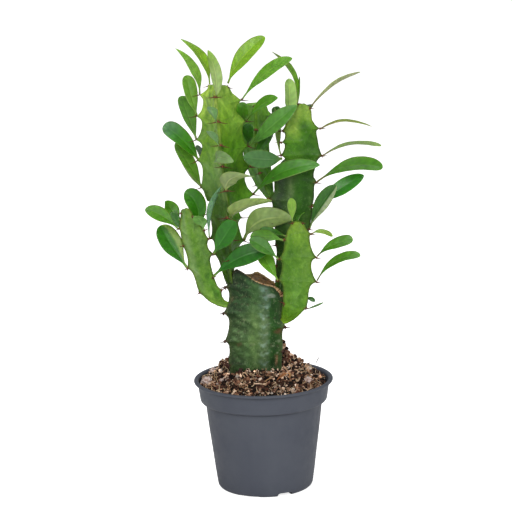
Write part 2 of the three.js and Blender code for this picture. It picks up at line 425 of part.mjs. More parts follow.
const solid = {}, fat = {};
for (const key of Object.keys(STEMS)) {
  solid[key] = toSolid(stemSolid(STEMS[key], CORE[key], SINK[key], 0));
  fat[key] = toSolid(stemSolid(STEMS[key], CORE[key], SINK[key], GAP));
}
solid.T = solid.T.subtract(cutter(0));
fat.T = fat.T.subtract(cutter(GAP));
for (const key of ['A', 'B', 'C', 'D']) {
  solid[key] = largest(solid[key].subtract(fat.T));
}
solid.E = largest(solid.E.subtract(fat.C));

const pot = potSolid();
const soil = largest(soilSolid().subtract(fat.T));

const plastic = new THREE.MeshStandardMaterial({ name: 'pot_plastic', color: 0x55585f, roughness: 0.55, metalness: 0 });
const earth = new THREE.MeshStandardMaterial({ name: 'soil', color: 0x5a4030, roughness: 1, metalness: 0 });
const oldStem = new THREE.MeshStandardMaterial({ name: 'old_stem', color: 0x3d5a3c, roughness: 0.5, metalness: 0 });
const youngStem = new THREE.MeshStandardMaterial({ name: 'young_stem', color: 0x6c9a3a, roughness: 0.5, metalness: 0 });
const leafGreen = new THREE.MeshStandardMaterial({ name: 'leaf', color: 0x4f8f2f, roughness: 0.45, metalness: 0 });

const plant = new THREE.Group();
function add(name, geometry, material) {
  geometry.computeVertexNormals();
  const mesh = new THREE.Mesh(geometry, material);
  mesh.name = name;
  plant.add(mesh);
}

add('pot', toGeometry(pot), plastic);
add('soil', toGeometry(soil), earth);
for (const key of ['T', 'A', 'B', 'C', 'D', 'E']) {
  add(STEMS[key].node, toGeometry(solid[key]), key === 'T' ? oldStem : youngStem);
}
for (const leaf of LEAVES) {
  let blade = toSolid(leafSolid(leaf));
  for (const key of ['T', 'A', 'B', 'C', 'D', 'E']) blade = blade.subtract(fat[key]);
  add(leaf[0], toGeometry(largest(blade)), leafGreen);
}

export default plant;
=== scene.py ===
import json
import math

import bpy
import numpy as np
from mathutils import Matrix, Vector

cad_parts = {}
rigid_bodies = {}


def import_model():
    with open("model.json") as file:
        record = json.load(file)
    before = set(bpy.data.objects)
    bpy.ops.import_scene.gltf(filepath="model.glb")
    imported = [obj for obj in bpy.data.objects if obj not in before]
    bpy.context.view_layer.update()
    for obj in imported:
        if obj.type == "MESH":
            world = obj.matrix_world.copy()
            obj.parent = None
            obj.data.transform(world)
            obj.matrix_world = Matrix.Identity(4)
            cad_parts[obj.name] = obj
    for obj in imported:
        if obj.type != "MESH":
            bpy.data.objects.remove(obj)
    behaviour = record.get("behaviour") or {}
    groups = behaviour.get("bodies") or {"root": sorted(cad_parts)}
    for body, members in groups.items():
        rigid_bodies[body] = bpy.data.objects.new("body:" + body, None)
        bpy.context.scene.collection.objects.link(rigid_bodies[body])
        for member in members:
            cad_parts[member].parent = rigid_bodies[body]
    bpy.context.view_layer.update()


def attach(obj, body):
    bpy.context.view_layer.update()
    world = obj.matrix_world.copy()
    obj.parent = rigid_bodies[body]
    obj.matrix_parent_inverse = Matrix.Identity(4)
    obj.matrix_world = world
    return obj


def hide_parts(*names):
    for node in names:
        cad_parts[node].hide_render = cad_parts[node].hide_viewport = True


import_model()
MM = 0.001

# ------------------------------------------------------------------ camera
PITCH, ROLL = math.radians(12.41), math.radians(-1.28)
cam_data = bpy.data.cameras.new("camera")
cam_data.lens = 2159.6 * 36.0 / 521.0
cam_data.sensor_width = 36.0
cam_data.clip_start, cam_data.clip_end = 0.05, 30.0
camera = bpy.data.objects.new("camera", cam_data)
bpy.context.scene.collection.objects.link(camera)
c_fwd = Vector((0, math.cos(PITCH), -math.sin(PITCH)))
c_up0, c_right0 = Vector((0, math.sin(PITCH), math.cos(PITCH))), Vector((1, 0, 0))
c_right = c_right0 * math.cos(ROLL) + c_up0 * math.sin(ROLL)
c_up = c_up0 * math.cos(ROLL) - c_right0 * math.sin(ROLL)
turn = Matrix((c_right, c_up, -c_fwd)).transposed().to_4x4()
camera.matrix_world = Matrix.Translation((-0.00411, -1.8, 0.5952)) @ turn
bpy.context.scene.camera = camera

# ------------------------------------------------------------------ tables
# Stems: x, y, z of the centre line and the rib radius between teeth; each rib
# is its angle at the base and at the tip (0 front, 90 right) and its teeth.
STEMS = {
    "A": {"node": "shoot_left_low",
          "st": [(-25.4, -9.0, 161.8, 2.2), (-29.2, -10.0, 163.3, 2.9), (-33.9, -11.0, 165.4, 3.9), (-37.5, -12.0, 168.8, 5.5), (-40.8, -13.0, 173.1, 7.3), (-44.1, -14.0, 178.8, 8.3), (-46.6, -15.0, 185.1, 8.8), (-49.2, -15.0, 193.0, 9.0), (-51.3, -15.0, 201.8, 9.9), (-53.6, -15.0, 212.6, 10.6), (-55.8, -15.0, 223.5, 11.9), (-58.7, -15.0, 233.0, 10.1), (-60.9, -15.0, 240.4, 7.2), (-61.6, -15.0, 245.6, 4.5), (-61.8, -15.0, 247.7, 2.9)],
          "ribs": [(-60, -60, [(95.9, 5.8), (85.5, 11.3), (69.4, 12.0), (49.6, 13.3), (28.6, 10.3)]), (60, 60, [(91.7, 5.3), (77.4, 12.3), (70.4, 14.0), (57.2, 15.0), (35.8, 8.5), (21.3, 10.1)]), (180, 180, [(92.7, 9.8), (70.8, 15.4), (51.3, 13.5), (31.4, 12.3)])]},
    "B": {"node": "shoot_left_tall",
          "st": [(-26.2, -10.0, 182.2, 3.9), (-27.0, -9.0, 187.2, 4.9), (-27.8, -8.0, 194.9, 6.4), (-27.8, -8.0, 203.6, 8.8), (-27.6, -8.0, 212.3, 11.8), (-27.8, -8.0, 222.7, 13.0), (-29.2, -8.0, 233.1, 12.9), (-29.4, -8.0, 242.6, 13.7), (-27.5, -8.0, 251.2, 17.6), (-28.5, -8.0, 260.6, 20.0), (-29.5, -8.0, 272.6, 20.1), (-30.2, -8.0, 286.3, 19.9), (-30.5, -8.0, 300.8, 19.6), (-30.8, -8.0, 313.5, 19.4), (-31.3, -8.0, 326.2, 18.1), (-32.1, -8.0, 335.6, 16.7), (-32.8, -8.0, 342.3, 14.0), (-32.7, -8.0, 347.3, 11.1), (-32.6, -8.0, 350.3, 9.2)],
          "ribs": [(-106, -128, [(168.9, 10.1), (161.4, 19.3), (143.4, 24.7), (122.7, 25.9), (105.4, 24.8), (83.4, 23.0), (59.2, 15.3), (39.0, 16.6), (24.1, 11.6)]), (14, -8, [(162.6, 17.7), (142.9, 22.9), (123.2, 24.1), (105.4, 24.5), (84.9, 24.8), (60.4, 18.2), (40.7, 17.6), (23.1, 13.9)]), (134, 112, [(168.9, 8.6), (154.1, 20.7), (137.0, 22.9), (115.8, 24.6), (96.7, 26.5), (71.8, 27.3), (53.7, 16.8), (34.1, 17.3), (16.5, 10.1)])]},
    "C": {"node": "shoot_right_tall",
          "st": [(15.3, -7.0, 169.2, 4.4), (16.3, -5.0, 175.7, 5.9), (18.7, 0.0, 185.0, 7.4), (21.5, 5.0, 195.2, 9.9), (24.4, 9.0, 206.6, 12.9), (26.3, 11.0, 218.4, 15.3), (27.5, 12.0, 231.2, 18.1), (28.1, 12.0, 244.3, 19.5), (29.6, 12.0, 255.6, 19.2), (29.9, 12.0, 264.2, 19.3), (31.6, 12.0, 273.7, 17.7), (35.2, 12.0, 282.3, 15.2), (36.2, 12.0, 291.7, 16.0), (36.4, 12.0, 301.2, 15.7), (35.5, 12.0, 310.6, 14.2), (36.1, 12.0, 319.2, 12.2), (38.5, 12.0, 325.9, 8.5), (39.8, 12.0, 329.7, 6.3)],
          "ribs": [(-60, -60, [(167.3, 7.0), (157.7, 12.8), (147.1, 17.3), (137.6, 19.8), (124.9, 20.0), (104.0, 22.2), (85.0, 24.8), (65.9, 20.9), (42.9, 14.3), (23.5, 9.4)]), (60, 60, [(167.3, 5.9), (147.8, 19.7), (125.7, 20.6), (104.0, 21.3), (82.5, 18.7), (60.9, 17.2), (42.9, 14.3), (24.5, 11.6)]), (180, 180, [(163.0, 13.2), (144.4, 19.4), (123.3, 20.0), (100.8, 23.8), (79.5, 24.1), (62.0, 21.7), (44.4, 18.0), (27.5, 14.0)])]},
    "D": {"node": "shoot_right_low",
          "st": [(16.1, -10.0, 147.7, 1.9), (19.3, -12.0, 149.6, 3.9), (21.4, -14.0, 152.9, 5.8), (23.6, -16.5, 157.4, 7.9), (26.1, -19.0, 163.3, 10.0), (28.0, -21.0, 170.5, 11.2), (29.2, -22.0, 178.5, 12.3), (29.7, -22.0, 188.9, 13.9), (29.9, -22.0, 198.4, 14.1), (30.6, -22.0, 210.5, 13.1), (30.9, -22.0, 219.1, 12.3), (31.0, -22.0, 226.8, 10.4), (31.3, -22.0, 232.1, 7.8), (31.5, -22.0, 235.8, 5.3)],
          "ribs": [(-60, -60, [(94.4, 5.2), (81.1, 12.9), (64.2, 17.6), (46.2, 18.3), (24.3, 9.8)]), (60, 60, [(94.4, 5.0), (86.2, 13.7), (66.7, 19.1), (45.3, 19.7), (25.3, 12.8)]), (180, 180, [(89.6, 12.0), (74.0, 16.4), (54.5, 17.8), (33.8, 15.5)])]},
    "E": {"node": "shoot_rear",
          "st": [(10.2, 4.0, 250.6, 2.9), (8.6, 8.0, 254.2, 4.1), (6.2, 13.0, 259.4, 6.2), (3.8, 18.0, 265.5, 8.5), (1.0, 22.0, 273.5, 10.9), (-1.4, 25.0, 285.2, 12.5), (-2.0, 26.0, 298.9, 13.0), (-1.7, 26.0, 312.7, 13.2), (-1.5, 26.0, 323.0, 12.0), (-2.0, 26.0, 329.9, 9.3)],
          "ribs": [(-120, -120, [(88.1, 9.7), (73.3, 14.8), (52.9, 15.2), (37.3, 11.3), (21.1, 9.2)]), (0, 0, [(88.1, 12.9), (68.7, 16.9), (48.3, 16.4), (24.4, 12.9)]), (120, 120, [(86.4, 9.3), (78.1, 16.4), (59.3, 14.8), (40.5, 12.0), (19.0, 7.0)])]},
    "T": {"node": "trunk",
          "st": [(-5.8, 2.0, 83.0, 18.0), (-5.6, 2.0, 89.3, 23.0), (-6.1, 2.0, 98.2, 25.6), (-6.2, 2.0, 109.0, 25.4), (-5.9, 2.0, 124.1, 25.9), (-5.7, 2.0, 141.9, 26.0), (-5.5, 2.0, 156.9, 25.6), (-4.8, 2.0, 169.3, 26.3), (-4.0, 2.0, 181.6, 25.5), (-3.4, 2.0, 193.8, 23.7)],
          "ribs": [(-60, -60, [(108.9, 26.0), (94.6, 31.0), (72.8, 31.7), (48.5, 30.7), (27.1, 27.1)]), (60, 60, [(86.3, 27.6), (60.3, 29.5), (39.1, 26.4), (20.7, 24.5)]), (180, 180, [(97.1, 30.3), (76.2, 30.3), (53.9, 30.6), (29.4, 30.1), (9.0, 28.7)])]},
}

# Leaves: name, stem, base, middle, tip, width, way that the upper face looks.
LEAVES = [
    ("leaf_left_tall_1", "B", (-39.7, -1.4, 351.4), (-45.7, 1.2, 372.6), (-62.9, 6.2, 389.1), 13, (0.67, -0.52, 0.52)),
    ("leaf_left_tall_2", "B", (-48.4, 4.0, 343.2), (-53.0, 8.6, 362.4), (-68.0, 13.6, 380.4), 13, (0.69, -0.52, 0.5)),
    ("leaf_left_tall_3", "B", (-33.6, -26.2, 345.3), (-34.0, -27.6, 363.8), (-39.8, -25.6, 383.1), 11, (0.4, 0.92, 0.05)),
    ("leaf_left_tall_4", "B", (-24.2, -4.6, 352.2), (-12.2, -4.8, 372.6), (7.4, -4.8, 390.5), 15, (-0.46, -0.81, 0.37)),
    ("leaf_left_tall_5", "B", (-12.7, 0.6, 337.7), (6.9, -1.6, 359.1), (29.9, -5.6, 372.0), 13, (-0.54, -0.64, 0.55)),
    ("leaf_left_tall_6", "B", (-51.3, 6.4, 324.5), (-55.6, 7.1, 340.7), (-59.4, 10.1, 357.9), 13.5, (0.45, -0.87, 0.21)),
    ("leaf_left_tall_7", "B", (-52.4, 6.0, 304.3), (-58.4, 11.7, 322.2), (-64.5, 17.7, 339.4), 13.5, (0.48, -0.77, 0.42)),
    ("leaf_left_tall_8", "B", (-51.3, 4.6, 286.9), (-64.0, 5.3, 303.5), (-79.7, 8.3, 316.2), 16, (0.41, -0.77, 0.49)),
    ("leaf_left_tall_9", "B", (-49.3, 2.7, 264.3), (-59.8, 7.4, 283.5), (-70.4, 11.4, 300.1), 13.5, (0.52, -0.71, 0.48)),
    ("leaf_left_tall_10", "B", (-47.0, 2.7, 261.2), (-59.5, 12.4, 274.4), (-67.9, 17.4, 290.1), 12, (0.81, 0.48, 0.34)),
    ("leaf_left_tall_11", "B", (-9.2, 2.4, 319.5), (3.5, -3.9, 333.6), (17.3, -7.9, 339.5), 12, (-0.63, -0.53, 0.56)),
    ("leaf_left_tall_12", "B", (-7.4, 4.2, 297.0), (13.1, -3.1, 316.2), (33.4, -6.1, 332.8), 17, (-0.52, -0.77, 0.36)),
    ("leaf_left_tall_13", "B", (-6.7, 6.1, 279.7), (2.7, 4.8, 296.2), (13.5, 2.8, 309.6), 12, (-0.68, -0.62, 0.39)),
    ("leaf_left_tall_14", "B", (-4.7, 7.8, 255.7), (19.5, -3.5, 275.6), (51.5, -8.5, 282.0), 16, (-0.45, -0.72, 0.52)),
    ("leaf_left_tall_15", "B", (-27.7, -33.4, 267.0), (-22.4, -41.8, 278.7), (-4.1, -47.8, 280.2), 15, (0.17, 0.8, 0.57)),
    ("leaf_left_tall_16", "B", (-31.2, -33.1, 287.5), (-34.4, -41.5, 296.2), (-20.8, -52.5, 294.0), 10.5, (-0.85, -0.32, 0.42)),
    ("leaf_left_tall_17", "B", (-23.7, -26.7, 242.3), (-14.8, -35.1, 252.7), (10.2, -32.1, 256.8), 14, (-0.16, 0.74, 0.65)),
    ("leaf_left_tall_18", "B", (-14.0, 3.4, 216.5), (0.9, -2.0, 234.2), (27.7, -2.0, 234.5), 21, (0.08, 0.99, 0.1)),
    ("leaf_left_tall_19", "B", (-48.0, 4.6, 283.7), (-48.9, 17.3, 289.3), (-49.7, 35.3, 292.4), 12, (0.56, -0.2, 0.81)),
    ("leaf_left_tall_20", "B", (-10.5, 2.4, 319.3), (-12.2, -11.9, 328.4), (-10.8, -17.9, 337.8), 11.5, (-0.41, -0.61, -0.67)),
    ("leaf_left_tall_21", "B", (-8.5, 4.2, 298.0), (-8.3, -10.1, 309.6), (-6.4, -16.1, 319.5), 11, (-0.51, -0.65, -0.56)),
    ("leaf_rear_1", "E", (10.8, 33.7, 301.7), (7.2, 45.4, 313.0), (0.4, 63.4, 312.2), 13, (0.24, -0.25, 0.94)),
    ("leaf_rear_2", "E", (-13.1, 33.8, 292.2), (-6.9, 45.5, 297.6), (-1.6, 65.5, 301.3), 13, (-0.17, -0.21, 0.96)),
    ("leaf_left_low_1", "A", (-55.3, 1.2, 222.3), (-52.8, 3.4, 245.2), (-63.5, 5.4, 258.9), 17, (0.34, -0.92, 0.18)),
    ("leaf_left_low_2", "A", (-67.3, -18.2, 239.0), (-73.6, -1.9, 243.7), (-80.2, 2.1, 251.9), 13, (0.11, -0.48, 0.87)),
    ("leaf_left_low_3", "A", (-69.1, -21.0, 232.3), (-81.7, -22.7, 244.1), (-96.2, -23.7, 249.9), 13, (0.38, -0.8, 0.46)),
    ("leaf_left_low_4", "A", (-62.4, -22.0, 199.0), (-73.9, -15.7, 215.8), (-84.3, -10.7, 233.6), 17, (0.25, -0.86, 0.44)),
    ("leaf_left_low_5", "A", (-47.6, -21.5, 231.5), (-49.2, -26.2, 239.6), (-54.3, -34.2, 245.8), 11.5, (-0.1, -0.72, -0.69)),
    ("leaf_left_low_6", "A", (-42.8, -22.3, 225.1), (-40.8, -29.0, 248.7), (-31.5, -37.0, 271.2), 10, (-0.79, 0.5, 0.35)),
    ("leaf_left_low_7", "A", (-39.8, -22.8, 210.6), (-30.9, -30.5, 225.7), (-20.8, -37.5, 241.4), 17.5, (-0.45, -0.88, -0.14)),
    ("leaf_left_low_8", "A", (-40.6, -19.6, 190.3), (-18.4, -24.3, 206.9), (6.6, -27.3, 213.9), 17.5, (-0.33, -0.86, 0.38)),
    ("leaf_right_low_1", "D", (27.0, -24.9, 237.4), (26.8, -25.6, 248.2), (26.1, -26.6, 257.8), 8, (0.31, -0.95, -0.07)),
    ("leaf_right_low_2", "D", (43.3, -29.2, 227.3), (50.8, -30.9, 229.7), (60.4, -31.9, 225.3), 9, (0.03, -0.49, 0.87)),
    ("leaf_right_low_3", "D", (47.4, -31.8, 208.6), (60.1, -34.5, 218.3), (77.2, -36.5, 223.0), 11.5, (-0.4, -0.68, 0.62)),
    ("leaf_right_low_4", "D", (46.9, -32.2, 187.7), (61.6, -34.9, 204.4), (83.3, -36.9, 209.6), 12, (-0.47, -0.6, 0.65)),
    ("leaf_right_low_5", "D", (14.5, -31.1, 206.8), (3.2, -33.8, 217.4), (-9.4, -36.8, 225.2), 13, (0.48, -0.8, 0.37)),
    ("leaf_right_low_6", "D", (19.3, -28.8, 222.1), (5.6, -23.5, 224.5), (-8.5, -20.5, 224.1), 13, (-0.16, -0.69, 0.71)),
    ("leaf_right_low_7", "D", (14.0, -31.4, 188.4), (6.2, -23.1, 200.5), (-0.5, -16.1, 211.2), 13.5, (0.12, -0.79, 0.6)),
    ("leaf_right_low_8", "D", (21.5, -28.8, 225.9), (10.7, -18.5, 227.0), (-0.1, -15.5, 229.6), 10, (-0.05, -0.35, 0.94)),
    ("leaf_right_tall_1", "C", (45.6, 8.7, 329.8), (64.8, 7.0, 347.9), (87.1, 6.0, 358.1), 9, (-0.48, 0.45, 0.75)),
    ("leaf_right_tall_2", "C", (53.1, 1.9, 311.3), (72.1, -0.8, 317.8), (95.7, -1.8, 312.6), 9, (-0.04, -0.13, 0.99)),
    ("leaf_right_tall_3", "C", (54.5, 1.4, 288.3), (76.9, -1.3, 297.9), (103.6, -3.3, 296.3), 12, (-0.18, -0.2, 0.96)),
    ("leaf_right_tall_4", "C", (49.1, 1.1, 265.8), (77.1, -1.6, 279.5), (104.6, -3.6, 277.6), 15, (-0.21, -0.62, 0.76)),
    ("leaf_right_tall_5", "C", (45.0, 2.3, 245.3), (66.9, 5.6, 257.2), (89.2, 8.6, 269.5), 14.5, (-0.24, -0.74, 0.63)),
    ("leaf_right_tall_6", "C", (42.4, 2.8, 225.5), (51.5, -3.9, 246.0), (65.3, -7.9, 264.1), 14, (-0.64, -0.75, 0.17)),
    ("leaf_right_tall_7", "C", (27.6, 5.3, 323.3), (27.6, 4.6, 337.5), (26.9, 5.6, 353.9), 12.5, (0.54, 0.84, 0.01)),
    ("leaf_right_tall_8", "C", (33.6, 8.2, 333.6), (30.1, 9.5, 357.1), (13.4, 12.5, 375.7), 12, (0.78, -0.46, 0.42)),
    ("leaf_right_tall_9", "C", (18.7, 1.7, 290.1), (15.8, 4.0, 307.2), (14.6, 5.0, 329.2), 12, (0.9, -0.41, 0.13)),
    ("leaf_right_tall_10", "C", (19.8, 1.7, 286.4), (3.2, -11.0, 288.5), (-13.0, -20.0, 292.7), 16, (0.56, -0.82, 0.1)),
    ("leaf_right_tall_11", "C", (35.7, 32.2, 308.5), (41.1, 47.4, 322.4), (40.7, 65.4, 320.6), 14, (0.02, -0.34, 0.94)),
    ("leaf_right_tall_12", "C", (30.0, 36.6, 266.0), (36.2, 52.8, 282.3), (37.5, 71.8, 281.7), 15, (0.01, -0.41, 0.91)),
    ("leaf_right_tall_13", "C", (27.0, 34.2, 225.9), (31.1, 50.4, 243.9), (32.4, 69.4, 241.2), 15, (0.01, -0.4, 0.92)),
]

CUT_LINE = np.array([(-60, 176), (-28, 184.5), (-25, 189), (-23.2, 191.8), (-20.5, 193.6), (-15.4, 190.3), (-9.9, 186.9), (-5.4, 183.1),
                     (-2.7, 181.8), (3.9, 179.4), (11, 178), (14.1, 175.6), (16.6, 172.5),
                     (18.4, 168.1), (20, 163.5), (60, 150)], float)
CUT_BACK = 181.8
CORE = {"A": 0.5, "B": 0.42, "C": 0.46, "D": 0.5, "E": 0.5, "T": 0.42}
SINK = {"A": 0.5, "B": 2.2, "C": 1.5, "D": 1.2, "E": 1.0, "T": 0.0}


# ----------------------------------------------------------------- helpers
def lin(r, g, b):
    c = np.array([r, g, b], float) / 255.0
    return np.where(c <= 0.04045, c / 12.92, ((c + 0.055) / 1.055) ** 2.4)


def unit(v):
    v = np.asarray(v, float)
    return v / np.maximum(np.linalg.norm(v, axis=-1, keepdims=True), 1e-12)


def smooth(a, b, x):
    t = np.clip((np.asarray(x, float) - a) / (b - a), 0, 1)
    return t * t * (3 - 2 * t)


def bell(x, centre, width):
    return np.exp(-(((np.asarray(x, float) - centre) / width) ** 2))


def mix(a, b, f):
    f = np.asarray(f, float)
    return np.asarray(a) * (1 - f[..., None]) + np.asarray(b) * f[..., None]


def wobble(P, size, seed, waves=9):
    """Smooth seeded noise of about -1 to 1 at points P, with bumps of about this size in mm."""
    r = np.random.default_rng(seed)
    P = np.asarray(P, float)
    out = np.zeros(P.shape[:-1])
    for _ in range(waves):
        d = unit(r.normal(size=3)) * (2 * math.pi / (size * r.uniform(0.75, 1.9)))
        out += np.sin(P @ d + r.uniform(0, 6.283))
    return out / math.sqrt(waves) * 0.9


def make_mesh(name, verts, faces, paint=None, extra=None, flat=False):
    """verts in mm, faces as a list of index tuples or an (n, 3 or 4) array."""
    verts = np.asarray(verts, float)
    me = bpy.data.meshes.new(name)
    if isinstance(faces, np.ndarray):
        n, k = faces.shape
        me.vertices.add(len(verts))
        me.vertices.foreach_set("co", (verts * MM).astype(np.float32).ravel())
        me.loops.add(n * k)
        me.loops.foreach_set("vertex_index", faces.astype(np.int32).ravel())
        me.polygons.add(n)
        me.polygons.foreach_set("loop_start", (np.arange(n) * k).astype(np.int32))
        me.update(calc_edges=True)
    else:
        me.from_pydata((verts * MM).tolist(), [], [tuple(int(i) for i in f) for f in faces])
        me.update()
    me.validate()
    me.shade_flat() if flat else me.shade_smooth()
    if paint is not None:
        layer = me.attributes.new("paint", "FLOAT_COLOR", "POINT")
        rgba = np.ones((len(verts), 4), np.float32)
        rgba[:, :3] = np.clip(paint, 0, 4)
        layer.data.foreach_set("color", rgba.ravel())
    for key, values in (extra or {}).items():
        layer = me.attributes.new(key, "FLOAT", "POINT")
        layer.data.foreach_set("value", np.asarray(values, np.float32))
    ob = bpy.data.objects.new(name, me)
    bpy.context.scene.collection.objects.link(ob)
    return ob


def piece(ob, material, slot, *nodes):
    ob.data.materials.append(material)
    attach(ob, "root")
    if nodes:
        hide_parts(*nodes)
    return ob


def grid_faces(rows, cols, closed=True):
    """Quads of rows of points, wrapping round each row."""
    i = np.arange(rows - 1)[:, None] * cols
    j = np.arange(cols if closed else cols - 1)[None, :]
    k = (j + 1) % cols
    return np.stack([i + j, i + k, i + cols + k, i + cols + j], -1).reshape(-1, 4)


def capped(rows, cols, first, last):
    """Quads plus the two end fans, as triangles and quads in a list."""
    quads = grid_faces(rows, cols)
    j = np.arange(cols)
    k = (j + 1) % cols
    fan0 = [(first, b, a) for a, b in zip(j, k)]
    top = (rows - 1) * cols
    fan1 = [(last, top + a, top + b) for a, b in zip(j, k)]
    return [tuple(q) for q in quads.tolist()] + fan0 + fan1


class Nodes:
    """A short way to write a node tree."""

    def __init__(self, name):
        self.mat = bpy.data.materials.new(name)
        self.mat.use_nodes = True
        self.t = self.mat.node_tree
        self.bsdf = next(n for n in self.t.nodes if n.type == "BSDF_PRINCIPLED")
        self.coord = None

    def add(self, kind, **values):
        n = self.t.nodes.new(kind)
        for k, v in values.items():
            setattr(n, k, v)
        return n

    def put(self, source, target):
        self.t.links.new(source, target)
        return target

    def where(self):
        if self.coord is None:
            self.coord = self.add("ShaderNodeTexCoord").outputs["Object"]
        return self.coord

    def stretch(self, scale):
        m = self.add("ShaderNodeMapping")
        m.inputs["Scale"].default_value = scale
        self.put(self.where(), m.inputs["Vector"])
        return m.outputs["Vector"]

    def noise(self, scale, detail=3.0, rough=0.55, distort=0.0, vector=None):
        n = self.add("ShaderNodeTexNoise")
        n.inputs["Scale"].default_value = scale
        n.inputs["Detail"].default_value = detail
        n.inputs["Roughness"].default_value = rough
        n.inputs["Distortion"].default_value = distort
        self.put(vector or self.where(), n.inputs["Vector"])
        return n.outputs["Fac"]

    def cells(self, scale, feature="F1", vector=None, out="Distance"):
        n = self.add("ShaderNodeTexVoronoi", feature=feature)
        n.inputs["Scale"].default_value = scale
        self.put(vector or self.where(), n.inputs["Vector"])
        return n.outputs[out]

    def range(self, value, a, b, c, d):
        n = self.add("ShaderNodeMapRange")
        for i, x in enumerate((a, b, c, d)):
            n.inputs[i + 1].default_value = x
        self.put(value, n.inputs[0])
        return n.outputs[0]

    def attr(self, name, colour=True):
        n = self.add("ShaderNodeAttribute", attribute_name=name)
        return n.outputs["Color" if colour else "Fac"]

    def blend(self, fac, a, b, kind="MIX"):
        n = self.add("ShaderNodeMix", data_type="RGBA", blend_type=kind)
        n.clamp_factor = True
        for socket, v in ((n.inputs[0], fac), (n.inputs[6], a), (n.inputs[7], b)):
            if isinstance(v, bpy.types.NodeSocket):
                self.put(v, socket)
            elif isinstance(v, (int, float)):
                socket.default_value = v
            else:
                socket.default_value = (*[float(x) for x in v], 1.0)
        return n.outputs[2]

    def maths(self, kind, a, b=0.5):
        n = self.add("ShaderNodeMath", operation=kind)
        for socket, v in ((n.inputs[0], a), (n.inputs[1], b)):
            if isinstance(v, bpy.types.NodeSocket):
                self.put(v, socket)
            else:
                socket.default_value = v
        return n.outputs[0]

    def bump(self, height, strength, distance, onto=None):
        n = self.add("ShaderNodeBump")
        n.inputs["Strength"].default_value = strength
        n.inputs["Distance"].default_value = distance
        self.put(height, n.inputs["Height"])
        if onto is not None:
            self.put(onto, n.inputs["Normal"])
        return n.outputs["Normal"]

    def done(self, colour, rough, normal=None, **fixed):
        self.put(colour, self.bsdf.inputs["Base Color"])
        if isinstance(rough, bpy.types.NodeSocket):
            self.put(rough, self.bsdf.inputs["Roughness"])
        else:
            self.bsdf.inputs["Roughness"].default_value = rough
        if normal is not None:
            self.put(normal, self.bsdf.inputs["Normal"])
        for k, v in fixed.items():
            self.bsdf.inputs[k.replace("_", " ")].default_value = v
        return self.mat


# --------------------------------------------------------------- materials
def pot_material():
    n = Nodes("pot_plastic")
    tall = n.stretch((1.0, 1.0, 0.16))
    cloud = n.noise(28, 3, 0.5)
    streak = n.noise(90, 4, 0.6, vector=tall)
    grain = n.noise(1500, 2, 0.5)
    base = n.blend(n.range(cloud, 0.35, 0.65, 0, 1), lin(71, 75, 86), lin(77, 81, 91))
    base = n.blend(n.range(streak, 0.3, 0.75, 0, 0.3), base, lin(83, 87, 96))
    scuff = n.range(n.cells(260), 0.0, 0.045, 0.5, 0)
    keep = n.range(n.noise(55, 2, 0.5), 0.58, 0.72, 0, 1)
    base = n.blend(n.maths("MULTIPLY", scuff, keep), base, lin(98, 100, 104))
    split = n.add("ShaderNodeSeparateXYZ")
    n.put(n.where(), split.inputs[0])
    # painted shade: a dark line on the step under the band (z 74.5 to 77.4 mm) and one under the rim lip (z 91.2 to
    # 93.4 mm), standing for the shadows there
    under = n.maths("MULTIPLY", n.range(split.outputs[2], 0.0745, 0.0758, 0, 1), n.range(split.outputs[2], 0.0769, 0.0774, 1, 0))
    lip = n.maths("MULTIPLY", n.range(split.outputs[2], 0.0912, 0.0922, 0, 1), n.range(split.outputs[2], 0.0930, 0.0934, 1, 0))
    base = n.blend(n.maths("MULTIPLY", n.maths("MAXIMUM", under, lip), 0.45), base, lin(44, 46, 54))
    rough = n.range(n.noise(120, 3, 0.6), 0.3, 0.7, 0.44, 0.6)
    height = n.maths("ADD", n.maths("MULTIPLY", grain, 0.5), n.maths("MULTIPLY", streak, 0.8))
    return n.done(base, rough, n.bump(height, 0.25, 0.0004), Specular_IOR_Level=0.3)


def soil_material(name, dark, light, scale, rough=0.92):
    n = Nodes(name)
    paint = n.attr("paint")
    a = n.noise(scale, 4, 0.65)
    b = n.noise(scale * 3.1, 3, 0.6)
    colour = n.blend(n.range(a, 0.3, 0.7, 0, 1), n.blend(1.0, paint, dark, "MULTIPLY"), n.blend(1.0, paint, light, "MULTIPLY"))
    rough_ = n.range(b, 0.3, 0.7, rough - 0.08, min(1.0, rough + 0.06))
    height = n.maths("ADD", n.maths("MULTIPLY", a, 0.7), n.maths("MULTIPLY", b, 0.3))
    return n.done(colour, rough_, n.bump(height, 0.7, 0.0009), Specular_IOR_Level=0.22)


